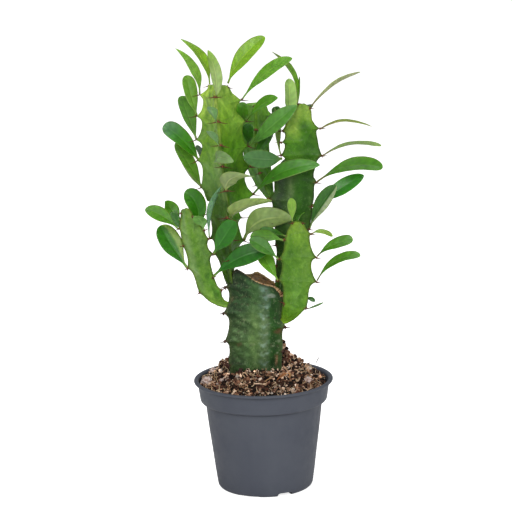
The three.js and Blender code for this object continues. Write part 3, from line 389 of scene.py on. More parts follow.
def stem_material(name, rough_low, rough_high, speck, sheen):
    n = Nodes(name)
    paint = n.attr("paint")
    broad = n.noise(70, 3, 0.55, 0.4)
    middle = n.noise(190, 3, 0.6, 0.6)
    fine = n.noise(460, 4, 0.6)
    dots = n.cells(900)
    colour = n.blend(n.range(broad, 0.3, 0.7, 0, 1), n.blend(1.0, paint, (0.9, 0.92, 0.88), "MULTIPLY"), n.blend(1.0, paint, (1.1, 1.08, 1.06), "MULTIPLY"))
    colour = n.blend(n.range(middle, 0.36, 0.64, 0, 1), n.blend(1.0, colour, (0.78, 0.84, 0.74), "MULTIPLY"), n.blend(1.0, colour, (1.22, 1.15, 1.16), "MULTIPLY"))
    colour = n.blend(n.range(fine, 0.35, 0.72, 0, 0.3), colour, n.blend(1.0, colour, (1.25, 1.2, 1.16), "MULTIPLY"))
    flecks = n.noise(620, 2, 0.5, 1.2, vector=n.stretch((1.0, 1.0, 0.6)))
    colour = n.blend(n.range(flecks, 0.58, 0.68, 0, speck * 1.3), colour, lin(150, 172, 122))
    pits = n.noise(380, 2, 0.5, 0.8)
    colour = n.blend(n.range(pits, 0.6, 0.7, 0, min(1.0, speck * 2.2)), colour, n.blend(1.0, colour, (0.5, 0.6, 0.5), "MULTIPLY"))
    colour = n.blend(n.range(dots, 0.0, 0.22, speck, 0), colour, lin(176, 192, 150))
    rough = n.range(n.noise(210, 3, 0.6), 0.3, 0.7, rough_low, rough_high)
    height = n.maths("ADD", n.maths("ADD", n.maths("MULTIPLY", broad, 0.9), n.maths("MULTIPLY", middle, 0.4)), n.maths("MULTIPLY", fine, 0.3))
    mat = n.done(colour, rough, n.bump(height, 0.55, 0.0011), Specular_IOR_Level=0.2,
                 Subsurface_Weight=0.12, Subsurface_Scale=0.004)
    n.bsdf.inputs["Subsurface Radius"].default_value = (0.5, 1.0, 0.25)
    n.bsdf.inputs["Sheen Weight"].default_value = sheen
    n.bsdf.inputs["Sheen Roughness"].default_value = 0.5
    return mat


def leaf_material():
    n = Nodes("leaf_green")
    paint = n.attr("paint")
    broad = n.noise(110, 2, 0.5, 0.3)
    fine = n.noise(900, 3, 0.6)
    veins = n.cells(420, "DISTANCE_TO_EDGE")
    colour = n.blend(n.range(broad, 0.3, 0.7, 0, 1), n.blend(1.0, paint, (0.88, 0.9, 0.88), "MULTIPLY"), n.blend(1.0, paint, (1.1, 1.08, 1.1), "MULTIPLY"))
    colour = n.blend(n.range(veins, 0.0, 0.09, 0.06, 0), colour, n.blend(1.0, colour, (1.35, 1.25, 1.2), "MULTIPLY"))
    colour = n.blend(n.range(n.noise(300, 3, 0.6, 0.5), 0.35, 0.65, 0, 1), n.blend(1.0, colour, (0.94, 0.96, 0.94), "MULTIPLY"), n.blend(1.0, colour, (1.06, 1.04, 1.07), "MULTIPLY"))
    rough = n.range(fine, 0.3, 0.7, 0.3, 0.44)
    height = n.maths("ADD", n.maths("MULTIPLY", broad, 0.6), n.maths("MULTIPLY", veins, 0.5))
    mat = n.done(colour, rough, n.bump(height, 0.25, 0.0006), Specular_IOR_Level=0.42,
                 Subsurface_Weight=0.3, Subsurface_Scale=0.003)
    n.bsdf.inputs["Subsurface Radius"].default_value = (0.6, 1.0, 0.2)
    return mat


def woody_material(name, rough=0.7, scale=500):
    n = Nodes(name)
    paint = n.attr("paint")
    a = n.noise(scale, 4, 0.65)
    colour = n.blend(n.range(a, 0.3, 0.7, 0, 1), n.blend(1.0, paint, (0.7, 0.68, 0.66), "MULTIPLY"), n.blend(1.0, paint, (1.3, 1.28, 1.25), "MULTIPLY"))
    return n.done(colour, n.range(a, 0.3, 0.7, rough - 0.1, rough + 0.12), n.bump(a, 0.6, 0.0005), Specular_IOR_Level=0.3)


MAT_POT = pot_material()
MAT_SOIL = soil_material("soil_bed", (0.6, 0.58, 0.56), (1.5, 1.42, 1.35), 420)
MAT_CRUMB = soil_material("soil_crumb", (0.5, 0.48, 0.47), (1.6, 1.56, 1.52), 700)
MAT_PERLITE = soil_material("soil_perlite", (0.8, 0.78, 0.77), (1.15, 1.15, 1.14), 900, 0.82)
MAT_FIBRE = woody_material("soil_fibre", 0.75, 1200)
MAT_OLD = stem_material("old_stem_skin", 0.4, 0.58, 0.17, 0.0)
MAT_YOUNG = stem_material("young_stem_skin", 0.38, 0.55, 0.1, 0.0)
MAT_LEAF = leaf_material()
MAT_SPINE = woody_material("spine_brown", 0.55, 1500)
MAT_CORK = woody_material("callus_brown", 0.78, 420)


# --------------------------------------------------------------- stem shape
class Stem:
    def __init__(self, key):
        spec = STEMS[key]
        self.key, self.node, self.ribs = key, spec["node"], spec["ribs"]
        st = np.array(spec["st"], float)
        P = np.vstack([2 * st[0] - st[1], st, 2 * st[-1] - st[-2]])
        out = []
        for i in range(1, len(P) - 2):
            a, b, c, d = P[i - 1], P[i], P[i + 1], P[i + 2]
            for k in range(16):
                t = k / 16
                out.append(0.5 * (2 * b + (c - a) * t + (2 * a - 5 * b + 4 * c - d) * t * t + (3 * b - a - 3 * c + d) * t ** 3))
        out.append(P[-2])
        out = np.array(out)
        self.S = np.concatenate([[0], np.cumsum(np.linalg.norm(np.diff(out[:, :3], axis=0), axis=1))])
        self.P, self.R, self.L = out[:, :3], out[:, 3], self.S[-1]
        n = len(out)
        lo, hi = np.maximum(np.arange(n) - 3, 0), np.minimum(np.arange(n) + 4, n - 1)
        self.T = unit(self.P[hi] - self.P[lo])

    def at(self, s):
        p = np.array([np.interp(s, self.S, self.P[:, i]) for i in range(3)])
        t = unit(np.array([np.interp(s, self.S, self.T[:, i]) for i in range(3)]))
        return p, t, float(np.interp(s, self.S, self.R))

    def frame_at(self, s):
        p, t, r = self.at(s)
        front = np.array([0, -1.0, 0])
        front = unit(front - front @ t * t)
        return p, t, r, front, np.cross(t, front)

    def edge(self, rib, s, valley):
        teeth = sorted(self.ribs[rib][2])
        if s <= teeth[0][0]:
            f = max(0.0, 1 - (teeth[0][0] - s) / 9)
            return valley + (teeth[0][1] - valley) * f ** 3
        if s >= teeth[-1][0]:
            return valley + (teeth[-1][1] - valley) * max(0.0, 1 - (s - teeth[-1][0]) / 6)
        i = 0
        while teeth[i + 1][0] < s:
            i += 1
        f = (s - teeth[i][0]) / (teeth[i + 1][0] - teeth[i][0])
        tip = teeth[i][1] + (teeth[i + 1][1] - teeth[i][1]) * f
        # slow away from the lower tooth, sharp under the upper one
        dip = math.sin(f / 0.62 * math.pi / 2) ** 0.8 if f < 0.62 else 1 - ((f - 0.62) / 0.38) ** 3
        return tip + (valley - tip) * dip

    def near_tooth(self, rib, s):
        """0 at a tooth, 1 half way between two."""
        t = np.array(sorted(x[0] for x in self.ribs[rib][2]))
        d = np.abs(t - s)
        i = int(np.argmin(d))
        gap = 16.0 if len(t) < 2 else (t[1] - t[0] if i == 0 else t[i] - t[i - 1] if s < t[i] or i == len(t) - 1 else t[i + 1] - t[i])
        return float(min(1.0, d[i] / (gap / 2)))

    def cycle(self, rib, s):
        """0 just above a tooth, rising to 1 just under the next one."""
        t = sorted(x[0] for x in self.ribs[rib][2])
        if s <= t[0]:
            return float(np.clip(1 - (t[0] - s) / 16, 0, 1))
        if s >= t[-1]:
            return float(np.clip((s - t[-1]) / 16, 0, 1))
        i = int(np.searchsorted(t, s)) - 1
        return float((s - t[i]) / (t[i + 1] - t[i]))

    def angle(self, rib, s):
        a, b = self.ribs[rib][:2]
        return a + (b - a) * s / self.L

    def direction(self, deg, front, side):
        a = math.radians(deg)
        return front * math.cos(a) + side * math.sin(a)

    def ring(self, s, across=26, cap=5):
        """Points of the section at s, and for each its face, place across it and nearness to a rib."""
        p, t, r, front, side = self.frame_at(s)
        core = CORE[self.key]
        pts, face, q = [], [], []
        edges = []
        for k in range(3):
            ang = self.angle(k, s)
            d, x = self.direction(ang, front, side), self.direction(ang + 90, front, side)
            e = max(self.edge(k, s, r), 0.8)
            half = min(1.2, e * 0.3) * (1 + 0.45 * (1 - self.near_tooth(k, s)) ** 4)
            edges.append((ang, d, x, e, half))
        for k in range(3):
            ang, d, x, e, half = edges[k]
            nxt = edges[(k + 1) % 3]
            for j in range(cap):
                w = (j + 0.5) / cap * math.pi - math.pi / 2
                pts.append(d * (e - half * 0.55 * (1 - math.cos(w))) + x * half * math.sin(w))
                face.append(k if j >= cap / 2 else (k + 2) % 3)
                q.append(0.0 if j >= cap / 2 else 1.0)
            a = d * (e - half * 0.55) + x * half
            b = nxt[1] * (nxt[3] - nxt[4] * 0.55) - nxt[2] * nxt[4]
            turn_ = nxt[0] - ang
            turn_ += 360 if turn_ < 0 else 0
            c = self.direction(ang + turn_ / 2, front, side) * (r * core)
            for j in range(1, across):
                u = j / across
                pts.append(a * (1 - u) ** 2 + c * 2 * u * (1 - u) + b * u * u)
                face.append(k)
                q.append(u)
        return np.array(pts) + p, np.array(face), np.array(q)


def stem_grid(stem, step=0.85, stop=None):
    """Dense rows of sections, with relief: (rows, cols, 3), s of each row, face, q."""
    rows = int(math.ceil((stop or stem.L) / step))
    s = np.linspace(0, stop or stem.L, rows + 1)
    teeth = sorted({x[0] for rib in stem.ribs for x in rib[2] if 0.5 < x[0] < stem.L - 0.3})
    s = np.array(sorted(set(np.round(np.concatenate([s, teeth]), 3))))
    s = s[np.concatenate([[True], np.diff(s) > 0.12])]
    rings = [stem.ring(x) for x in s]
    G = np.stack([r[0] for r in rings])
    return G, s, rings[0][1], rings[0][2]


def relief(stem, G, s, face, q, amount, seed):
    """Low swellings that run from each tooth into the faces, and a little unevenness."""
    centre = np.array([stem.at(x)[0] for x in s])
    out = G - centre[:, None, :]
    r = np.linalg.norm(out, axis=2, keepdims=True)
    n = out / np.maximum(r, 1e-9)
    crest = np.abs(2 * q - 1)
    phase = np.zeros(G.shape[:2])
    stem.saw = np.zeros(G.shape[:2])
    for k in range(3):
        for side_, rib in ((0, k), (1, (k + 1) % 3)):
            cols = np.where((face == k) & ((q < 0.5) if side_ == 0 else (q >= 0.5)))[0]
            for j in cols:
                shift = 7.0 * (1 - crest[j])
                phase[:, j] = [stem.near_tooth(rib, x + shift) for x in s]
                stem.saw[:, j] = [stem.cycle(rib, x + 30.0 * min(q[j], 1 - q[j])) for x in s]
    body = smooth(0, 0.35, crest) * smooth(1.0, 0.75, crest)
    lift = amount * (0.5 - phase) * body[None, :]
    lift += 0.28 * wobble(G, 9, seed) * smooth(1.0, 0.85, crest)[None, :] * min(1, amount + 0.3)
    lift += 0.1 * wobble(G, 2.6, seed + 1)
    return G + n * lift[..., None], phase, crest


def close_ends(G, paint, base_in, tip_in, tip_sink, base_sink):
    """Adds shrinking rows at both ends, so that the ends are round. Returns points, paint, faces."""
    rows, cols = G.shape[:2]
    c0, c1 = G[0].mean(0), G[-1].mean(0)
    t0, t1 = unit(G[0].mean(0) - G[min(3, rows - 1)].mean(0)), unit(G[-1].mean(0) - G[-min(4, rows)].mean(0))
    lead = [c0 + (G[0] - c0) * f + t0 * h for f, h in base_in]
    tail = [c1 + (G[-1] - c1) * f + t1 * h for f, h in tip_in]
    allr = np.concatenate([np.array(lead[::-1]).reshape(-1, cols, 3), G, np.array(tail).reshape(-1, cols, 3)])
    allp = np.concatenate([np.repeat(paint[:1], len(lead), 0), paint, np.repeat(paint[-1:], len(tail), 0)])
    n = allr.shape[0]
    pts = np.vstack([allr.reshape(-1, 3), [c0 + t0 * base_sink], [c1 + t1 * tip_sink]])
    pnt = np.vstack([allp.reshape(-1, 3), [paint[0].mean(0)], [paint[-1].mean(0)]])
    return pts, pnt, capped(n, cols, n * cols, n * cols + 1)


# ------------------------------------------------------------ stem colouring
def skin(r, g, b):
    return lin(r, g, b) * 0.8


LIME, SPRING, GRASS, LEAFY, DEEP = skin(134, 168, 74), skin(112, 154, 56), skin(92, 136, 44), skin(74, 122, 30), skin(46, 82, 22)
ASH, SAGE, MURK, OLIVE, PALE = skin(116, 150, 84), skin(86, 124, 66), skin(48, 74, 28), skin(78, 108, 56), skin(150, 180, 100)


def ramp(F, *stops):
    """Colour along F from (place, colour) pairs, in rising order of place."""
    x = [a for a, _ in stops]
    return np.stack([np.interp(F, x, [c[i] for _, c in stops]) for i in range(3)], -1)


def young_paint(stem, G, s, phase, crest, q, c, seed, pale=0.5, veins=0.5):
    """Marbling, rib edges and pads over the ground colour c."""
    stretch = G * np.array([1, 1, 0.55])
    hollow = np.broadcast_to(1 - crest[None, :], phase.shape)
    n14, n7, n4, n2 = wobble(stretch, 14, seed), wobble(G * np.array([1, 1, 0.7]), 7, seed + 3), wobble(G, 4, seed + 5), wobble(G, 2.2, seed + 8)
    # paler arms that run from the middle of each face up to the teeth
    arms = smooth(0.6, 0.05, phase) * smooth(0.02, 0.25, hollow) * smooth(1.0, 0.6, hollow)
    c = mix(c, c * np.array([1.3, 1.2, 1.55]), np.clip(pale * (0.6 * arms * (0.7 + 0.5 * n7) + 0.8 * smooth(0.3, 1.4, n14) + 0.6 * smooth(0.5, 1.3, n4)), 0, 1))
    c = mix(c, c * np.array([0.66, 0.76, 0.68]), np.clip(veins * (0.8 * smooth(0.5, 1.3, n7) + 0.7 * smooth(0.6, 1.2, -n4) + 0.5 * smooth(0.8, 1.3, n2)), 0, 1))
    # each tooth sends a pale line down into the face, lighter skin above it and darker below
    saw = np.clip(stem.saw + 0.05 * n4, 0, 1)
    side = smooth(0.0, 0.12, hollow) * smooth(1.02, 0.8, hollow)
    c = c * (1 + (0.26 * veins * (0.5 - saw) * side * (0.8 + 0.4 * n7)))[..., None]
    line = np.maximum(bell(saw, 0.05, 0.05), bell(saw, 1.0, 0.03))
    c = mix(c, c * np.array([1.32, 1.24, 1.6]), np.clip(line * side * max(pale, 0.85) * (0.7 + 0.4 * n7), 0, 1) * 0.85)
    rim = np.broadcast_to(smooth(0.86, 1.0, crest)[None, :], phase.shape)
    c = mix(c, c * np.array([1.25, 1.16, 1.0]), rim * smooth(0.2, 0.7, phase) * 0.8)
    c = mix(c, c * np.array([0.62, 0.5, 0.45]), np.broadcast_to(smooth(0.965, 1.0, crest)[None, :], phase.shape) * 0.6)
    # brown at the teeth
    c = mix(c, skin(104, 78, 44), rim * smooth(0.16, 0.03, phase) * 0.55)
    return c


# ------------------------------------------------------------------- leaves
PALETTE = {
    "dark": (lin(34, 78, 16), lin(76, 108, 48)),
    "deep": (lin(50, 102, 22), lin(94, 126, 56)),
    "mid": (lin(76, 128, 28), lin(110, 140, 58)),
    "fresh": (lin(98, 148, 30), lin(122, 152, 58)),
    "bright": (lin(118, 162, 32), lin(134, 162, 60)),
    "young": (lin(142, 176, 40), lin(142, 168, 58)),
    "blue": (lin(76, 116, 70), lin(112, 136, 90)),
    "dull": (lin(108, 132, 66), lin(144, 152, 92)),
}
LOOK = {
    "leaf_left_tall_1": {'tone': 'bright', 'tip': 1.6, 'blunt': 0.9, 'widest': 0.55, 'top': (112, 152, 26), 'under': (126, 152, 44)},
    "leaf_left_tall_2": {'tone': 'fresh', 'tip': 1.6, 'blunt': 0.9, 'widest': 0.52, 'top': (128, 176, 60), 'under': (160, 180, 118)},
    "leaf_left_tall_3": {'tone': 'dull', 'wide': 0.95, 'tip': 2.4, 'blunt': 0.75, 'widest': 0.5, 'base': 0.7, 'end': (122, 162, 48), 'under': (150, 175, 105), 'top': (150, 175, 105)},
    "leaf_left_tall_4": {'tone': 'young', 'tip': 2.6, 'blunt': 0.55, 'widest': 0.62, 'base': 1.5, 'top': (118, 162, 32), 'under': (118, 154, 48)},
    "leaf_left_tall_5": {'tone': 'fresh', 'widest': 0.6, 'top': (96, 148, 40), 'under': (120, 152, 78)},
    "leaf_left_tall_6": {'tone': 'fresh', 'base': 1.3, 'tip': 2.8, 'blunt': 0.5, 'widest': 0.68, 'top': (110, 156, 56), 'under': (140, 162, 108)},
    "leaf_left_tall_7": {'tone': 'mid', 'base': 1.15, 'wide': 1.08, 'tip': 2.8, 'blunt': 0.5, 'widest': 0.66, 'top': (88, 136, 50), 'under': (130, 148, 104)},
    "leaf_left_tall_8": {'tone': 'deep', 'base': 1.0, 'wide': 1.12, 'tip': 3.0, 'blunt': 0.5, 'widest': 0.66, 'end': (78, 116, 84), 'top': (56, 122, 10), 'under': (110, 156, 22)},
    "leaf_left_tall_9": {'tone': 'mid', 'base': 1.0, 'wide': 1.12, 'top': (90, 136, 40), 'under': (126, 152, 86)},
    "leaf_left_tall_10": {'tone': 'mid'},
    "leaf_left_tall_11": {'tone': 'mid', 'tip': 1.8, 'blunt': 0.8, 'top': (78, 134, 26), 'under': (116, 146, 52)},
    "leaf_left_tall_12": {'tone': 'mid', 'tip': 1.8, 'blunt': 0.8, 'base': 1.3, 'widest': 0.56, 'top': (84, 138, 54), 'under': (126, 152, 114)},
    "leaf_left_tall_13": {'tone': 'deep'},
    "leaf_left_tall_14": {'tone': 'fresh', 'tip': 2.0, 'blunt': 0.7, 'widest': 0.6, 'top': (66, 128, 28), 'under': (86, 132, 54)},
    "leaf_left_tall_15": {'tone': 'dull', 'under': (132, 148, 94), 'widest': 0.34, 'base': 1.0, 'tip': 1.2, 'blunt': 1.0, 'top': (90, 120, 56)},
    "leaf_left_tall_16": {'tone': 'blue', 'widest': 0.6, 'top': (114, 144, 88), 'under': (168, 168, 114)},
    "leaf_left_tall_17": {'tone': 'dull', 'wide': 1.1, 'under': (132, 152, 82), 'widest': 0.33, 'top': (118, 130, 66)},
    "leaf_left_tall_18": {'tone': 'dull', 'under': (136, 160, 90), 'widest': 0.5, 'base': 2.0, 'tip': 1.7, 'top': (100, 132, 54)},
    "leaf_left_tall_19": {'tone': 'dark'},
    "leaf_left_tall_20": {'tone': 'deep', 'top': (66, 114, 24), 'tip': 2.8, 'blunt': 0.5},
    "leaf_left_tall_21": {'tone': 'deep', 'top': (34, 78, 16), 'tip': 2.8, 'blunt': 0.5},
    "leaf_rear_1": {'tone': 'deep'},
    "leaf_rear_2": {'tone': 'deep'},
    "leaf_left_low_1": {'tone': 'deep', 'tip': 2.6, 'blunt': 0.5, 'top': (52, 120, 10), 'under': (98, 148, 20)},
    "leaf_left_low_2": {'tone': 'mid', 'top': (68, 124, 10), 'under': (94, 136, 10)},
    "leaf_left_low_3": {'tone': 'deep', 'top': (70, 124, 10), 'under': (128, 150, 30)},
    # the 'half' colour below is a painted sheen on one half of the blade
    "leaf_left_low_4": {'tone': 'mid', 'tip': 2.6, 'blunt': 0.5, 'wide': 1.15, 'half': (128, 156, 72), 'sheen_half_side': 1, 'sheen_half_from': 0.4, 'top': (44, 108, 12), 'under': (64, 118, 26)},
    "leaf_left_low_5": {'tone': 'blue', 'top': (104, 152, 74), 'under': (146, 162, 82)},
    "leaf_left_low_6": {'tone': 'blue', 'under': (98, 138, 100)},
    "leaf_left_low_7": {'tone': 'deep', 'top': (38, 110, 10), 'tip': 2.6, 'blunt': 0.5, 'under': (76, 128, 10)},
    "leaf_left_low_8": {'tone': 'deep', 'top': (32, 100, 10), 'under': (74, 112, 10)},
    "leaf_right_low_1": {'tone': 'young', 'top': (118, 158, 52), 'under': (118, 150, 76)},
    "leaf_right_low_2": {'tone': 'young', 'wide': 0.8, 'fold': 0.05, 'top': (128, 160, 58), 'stalk': (120, 96, 62)},
    "leaf_right_low_3": {'tone': 'mid', 'tip': 3.2, 'blunt': 0.45, 'widest': 0.7, 'stalk': (92, 84, 56), 'top': (68, 120, 20), 'under': (98, 132, 42)},
    "leaf_right_low_4": {'tone': 'mid', 'wide': 0.85, 'tip': 3.0, 'blunt': 0.5, 'stalk': (92, 84, 56)},
    "leaf_right_low_5": {'tone': 'deep', 'top': (70, 124, 40), 'under': (134, 150, 96)},
    "leaf_right_low_6": {'tone': 'mid'},
    "leaf_right_low_7": {'tone': 'fresh', 'midrib': 0.9, 'top': (92, 148, 32), 'under': (114, 152, 68)},
    "leaf_right_low_8": {'tone': 'deep'},
    "leaf_right_tall_1": {'tone': 'fresh', 'base': 0.9, 'stalk': (112, 92, 64), 'fold': 0.08, 'top': (120, 150, 54), 'under': (150, 154, 108)},
    "leaf_right_tall_2": {'tone': 'fresh', 'base': 0.8, 'stalk': (112, 92, 64), 'fold': 0.08, 'top': (122, 138, 44), 'under': (154, 142, 82)},
    "leaf_right_tall_3": {'tone': 'mid', 'stalk': (112, 92, 64), 'tip': 3.2, 'blunt': 0.6, 'base': 1.2, 'fold': 0.08, 'top': (126, 152, 80), 'under': (182, 166, 168)},
    "leaf_right_tall_4": {'tone': 'mid', 'stalk': (112, 92, 64), 'tip': 3.0, 'blunt': 0.5, 'top': (66, 122, 18), 'under': (98, 134, 42)},
    "leaf_right_tall_5": {'tone': 'deep', 'top': (40, 118, 10), 'under': (78, 148, 10)},
    # the 'half' colour below is a painted sheen on one half of the blade
    "leaf_right_tall_6": {'tone': 'deep', 'top': (58, 102, 42), 'half': (168, 182, 144), 'sheen_half_side': 1, 'sheen_half_from': 0.3},
    "leaf_right_tall_7": {'tone': 'dull', 'wide': 1.0, 'tip': 5.0, 'base': 0.5, 'widest': 0.45, 'petiole': 0.5, 'under': (152, 188, 102), 'top': (152, 188, 102)},
    "leaf_right_tall_8": {'tone': 'fresh', 'tip': 1.3, 'blunt': 1.3, 'end': (96, 104, 52)},
    "leaf_right_tall_9": {'tone': 'dull'},
    "leaf_right_tall_10": {'tone': 'blue', 'base': 1.0, 'tip': 1.7, 'widest': 0.58, 'top': (72, 118, 60), 'under': (102, 132, 56)},
    "leaf_right_tall_11": {'tone': 'dark'},
    "leaf_right_tall_12": {'tone': 'dark'},
    "leaf_right_tall_13": {'tone': 'dark'},
}


def leaf_outline(t, widest=0.63, base=1.65, tip=2.2, blunt=0.6, petiole=0.13):
    t = np.asarray(t, float)
    a = np.sin(np.clip(t / widest, 0, 1) * math.pi / 2) ** base
    b = np.clip(1 - np.clip((t - widest) / (1 - widest), 0, 1) ** tip, 0, 1) ** blunt
    return np.where(t < widest, np.maximum(a, petiole), np.maximum(b, 0.02))


def leaf_mesh(name, a, m, b, width, up, look, seed):
    a, m, b, up = (np.array(x, float) for x in (a, m, b, up))
    look = dict(look)
    r = np.random.default_rng(seed)
    ctrl = 2 * m - 0.5 * a - 0.5 * b
    rows, half_cols = look.get("rows", 46), look.get("cols", 8)
    x = np.linspace(0, 1, rows)
    t = 0.15 * x + 0.85 * (0.5 - 0.5 * np.cos(math.pi * x)) if rows > 20 else x
    length = np.linalg.norm(b - a)
    p = np.outer((1 - t) ** 2, a) + np.outer(2 * t * (1 - t), ctrl) + np.outer(t * t, b)
    along = unit(np.outer(2 * (1 - t), ctrl - a) + np.outer(2 * t, b - ctrl))
    normal = unit(up[None, :] - (along @ up)[:, None] * along)
    side = np.cross(along, normal)
    twist = np.radians(look.get("twist", 0.0)) * (t - 0.35) + np.radians(r.uniform(-5, 5)) * np.sin(3 * t)
    side, normal = (side * np.cos(twist)[:, None] + normal * np.sin(twist)[:, None],
                    normal * np.cos(twist)[:, None] - side * np.sin(twist)[:, None])
    w = leaf_outline(t, look.get("widest", 0.63), look.get("base", 1.65), look.get("tip", 2.2), look.get("blunt", 0.6), look.get("petiole", 0.13))
    half = w * width * look.get("wide", 1.0) / 2
    bend = look.get("bend", 0.0) * (t * (1 - t) * 4)
    p = p + side * bend[:, None]
    fold = look.get("fold", 0.18)
    v = np.linspace(-1, 1, 2 * half_cols + 1)
    thick = look.get("thick", 1.15) * (0.55 + 0.45 * smooth(0.5, 0.05, t)) * smooth(1.04, 0.9, t) ** 0.5
    lens = np.sqrt(np.clip(1 - v ** 2, 0, 1))
    wave = look.get("wave", 0.35)
    ph = r.uniform(0, 6.28, 4)
    edge_wave = wave * (np.sin(t * 9 + ph[0])[:, None] * np.clip(v, 0, 1)[None, :] ** 2 + np.sin(t * 8 + ph[1])[:, None] * np.clip(-v, 0, 1)[None, :] ** 2)
    edge_wave *= smooth(0.15, 0.4, t)[:, None]
    sag = fold * half[:, None] * np.abs(v)[None, :] ** 1.25 + edge_wave + look.get("cup", 0.05) * half[:, None] * (v ** 2)[None, :]
    groove = -0.28 * bell(v, 0, 0.1)[None, :] * smooth(0.02, 0.1, t)[:, None] * smooth(1.0, 0.7, t)[:, None] * np.clip(half[:, None] / 3, 0, 1)
    keel = 0.6 * bell(v, 0, 0.16)[None, :] * smooth(1.0, 0.2, t)[:, None] * np.clip(half[:, None] / 3, 0, 1)
    rib = 0.07 * np.sin(t[:, None] * length * 0.75 - np.abs(v)[None, :] * 3.5) * smooth(0.05, 0.3, np.abs(v))[None, :] * np.clip(half[:, None] / 5, 0, 1)
    hi = sag + thick[:, None] * 0.5 * lens[None, :] + groove + rib
    lo = sag - thick[:, None] * 0.5 * lens[None, :] - keel + rib * 0.6
    upper = p[:, None, :] + side[:, None, :] * (half[:, None] * v[None, :])[..., None] + normal[:, None, :] * hi[..., None]
    lower = p[:, None, :] + side[:, None, :] * (half[:, None] * v[None, :])[..., None] + normal[:, None, :] * lo[..., None]
    G = np.concatenate([upper[:, ::-1], lower[:, 1:-1]], axis=1)
    vv = np.concatenate([v[::-1], v[1:-1]])
    is_up = np.concatenate([np.ones(len(v)), np.zeros(len(v) - 2)])
    is_up[0] = is_up[len(v) - 1] = 0.5
    cols = G.shape[1]
    # colour
    top, under = (np.array(c) for c in PALETTE[look.get("tone", "mid")])
    if "top" in look:
        top = lin(*look["top"])
    if "under" in look:
        under = lin(*look["under"])
    shade = 1 + r.uniform(-0.06, 0.06)
    T, Vv = np.broadcast_to(t[:, None], (rows, cols)), np.broadcast_to(vv[None, :], (rows, cols))
    c = mix(np.broadcast_to(under, (rows, cols, 3)), np.broadcast_to(top, (rows, cols, 3)), np.broadcast_to(is_up[None, :], (rows, cols))) * shade
    tipc = lin(*look["end"]) if "end" in look else None
    if tipc is not None:
        c = mix(c, tipc, smooth(0.45, 0.95, T) * 0.8)
    # painted sheen: one half of the blade, on one side of the midrib, is made lighter as if the fold caught the light
    if "half" in look:
        sgn = look.get("sheen_half_side", 1)
        c = mix(c, lin(*look["half"]), smooth(-0.08, 0.12, sgn * Vv - look.get("sheen_half_from", 0.0)) * is_up[None, :])
    c = mix(c, c * np.array([0.72, 0.8, 0.8]), smooth(0.62, 0.98, np.abs(Vv)) * look.get("rimdark", 0.35) * smooth(0.1, 0.3, T))
    side_veins = np.sin(T * length * 1.05 - np.abs(Vv) * 5.0 + 0.8 * wobble(G, 8, seed + 2))
    c = c * (1 + 0.1 * side_veins * smooth(0.06, 0.3, np.abs(Vv)) * smooth(1.0, 0.8, np.abs(Vv)))[..., None]
    c = c * (1 + 0.06 * wobble(G, 3.2, seed + 4))[..., None]
    # painted shade: a darker band along both sides of the midrib, in the crease of the fold
    c = mix(c, c * np.array([0.62, 0.72, 0.66]), (bell(np.abs(Vv), 0.13, 0.06)) * 0.5 * smooth(0.08, 0.3, T) * smooth(0.98, 0.7, T))
    c = mix(c, c * np.array([1.5, 1.3, 1.35]) + 0.01, bell(Vv, 0, 0.07) * look.get("midrib", 0.9) * smooth(0.95, 0.6, T) * smooth(0.06, 0.3, T))
    edge = smooth(0.93, 1.0, np.abs(Vv)) * smooth(0.12, 0.3, T)
    if look.get("tone") in ("fresh", "bright", "young", "dull"):
        c = mix(c, lin(164, 190, 100), edge * look.get("edge", 0.4))
    else:
        c = mix(c, c * np.array([0.5, 0.55, 0.5]), edge * look.get("edge", 0.6))
    c = mix(c, lin(134, 156, 72), smooth(0.2, 0.0, T) * 0.55)
    c = mix(c, lin(120, 96, 60), smooth(0.03, 0.0, T) * 0.7)
    if "stalk" in look:
        c = mix(c, lin(*look["stalk"]), smooth(0.24, 0.04, T) * 0.75)
    pts = G.reshape(-1, 3)
    c = c * (1 + 0.06 * wobble(G, 9, seed)[..., None])
    pts = np.vstack([pts, [a], [b + along[-1] * 0.25]])
    c = np.vstack([c.reshape(-1, 3), [c[0].mean(0)], [c[-1].mean(0) * 0.8]])
    faces = capped(rows, cols, rows * cols, rows * cols + 1)
    return make_mesh(name, pts, faces, paint=c)


# ------------------------------------------------------------------- spines
def cone(start, end, r0, r1, sides=6, bow=None, steps=4):
    start, end = np.array(start, float), np.array(end, float)
    d = unit(end - start)
    x = unit(np.cross(d, [0.31, 0.52, 0.79]))
    y = np.cross(d, x)
    pts, faces = [], []
    for i in range(steps + 1):
        f = i / steps
        c = start + (end - start) * f + (0 if bow is None else np.array(bow) * 4 * f * (1 - f))
        rad = r0 + (r1 - r0) * f ** 0.8
        for k in range(sides):
            w = 2 * math.pi * k / sides
            pts.append(c + (x * math.cos(w) + y * math.sin(w)) * rad)
    for i in range(steps):
        for k in range(sides):
            a, b = i * sides + k, i * sides + (k + 1) % sides
            faces.append((a, b, b + sides, a + sides))
    n = len(pts)
    pts += [start - d * r0 * 0.3, end + d * r1]
    top = steps * sides
    for k in range(sides):
        faces.append((n, (k + 1) % sides, k))
        faces.append((n + 1, top + k, top + (k + 1) % sides))
    return np.array(pts), faces


PHI = (1 + 5 ** 0.5) / 2
ICO_V = unit(np.array([(-1, PHI, 0), (1, PHI, 0), (-1, -PHI, 0), (1, -PHI, 0), (0, -1, PHI), (0, 1, PHI),
                       (0, -1, -PHI), (0, 1, -PHI), (PHI, 0, -1), (PHI, 0, 1), (-PHI, 0, -1), (-PHI, 0, 1)]))
ICO_F = [(0, 11, 5), (0, 5, 1), (0, 1, 7), (0, 7, 10), (0, 10, 11), (1, 5, 9), (5, 11, 4), (11, 10, 2), (10, 7, 6), (7, 1, 8),
         (3, 9, 4), (3, 4, 2), (3, 2, 6), (3, 6, 8), (3, 8, 9), (4, 9, 5), (2, 4, 11), (6, 2, 10), (8, 6, 7), (9, 8, 1)]


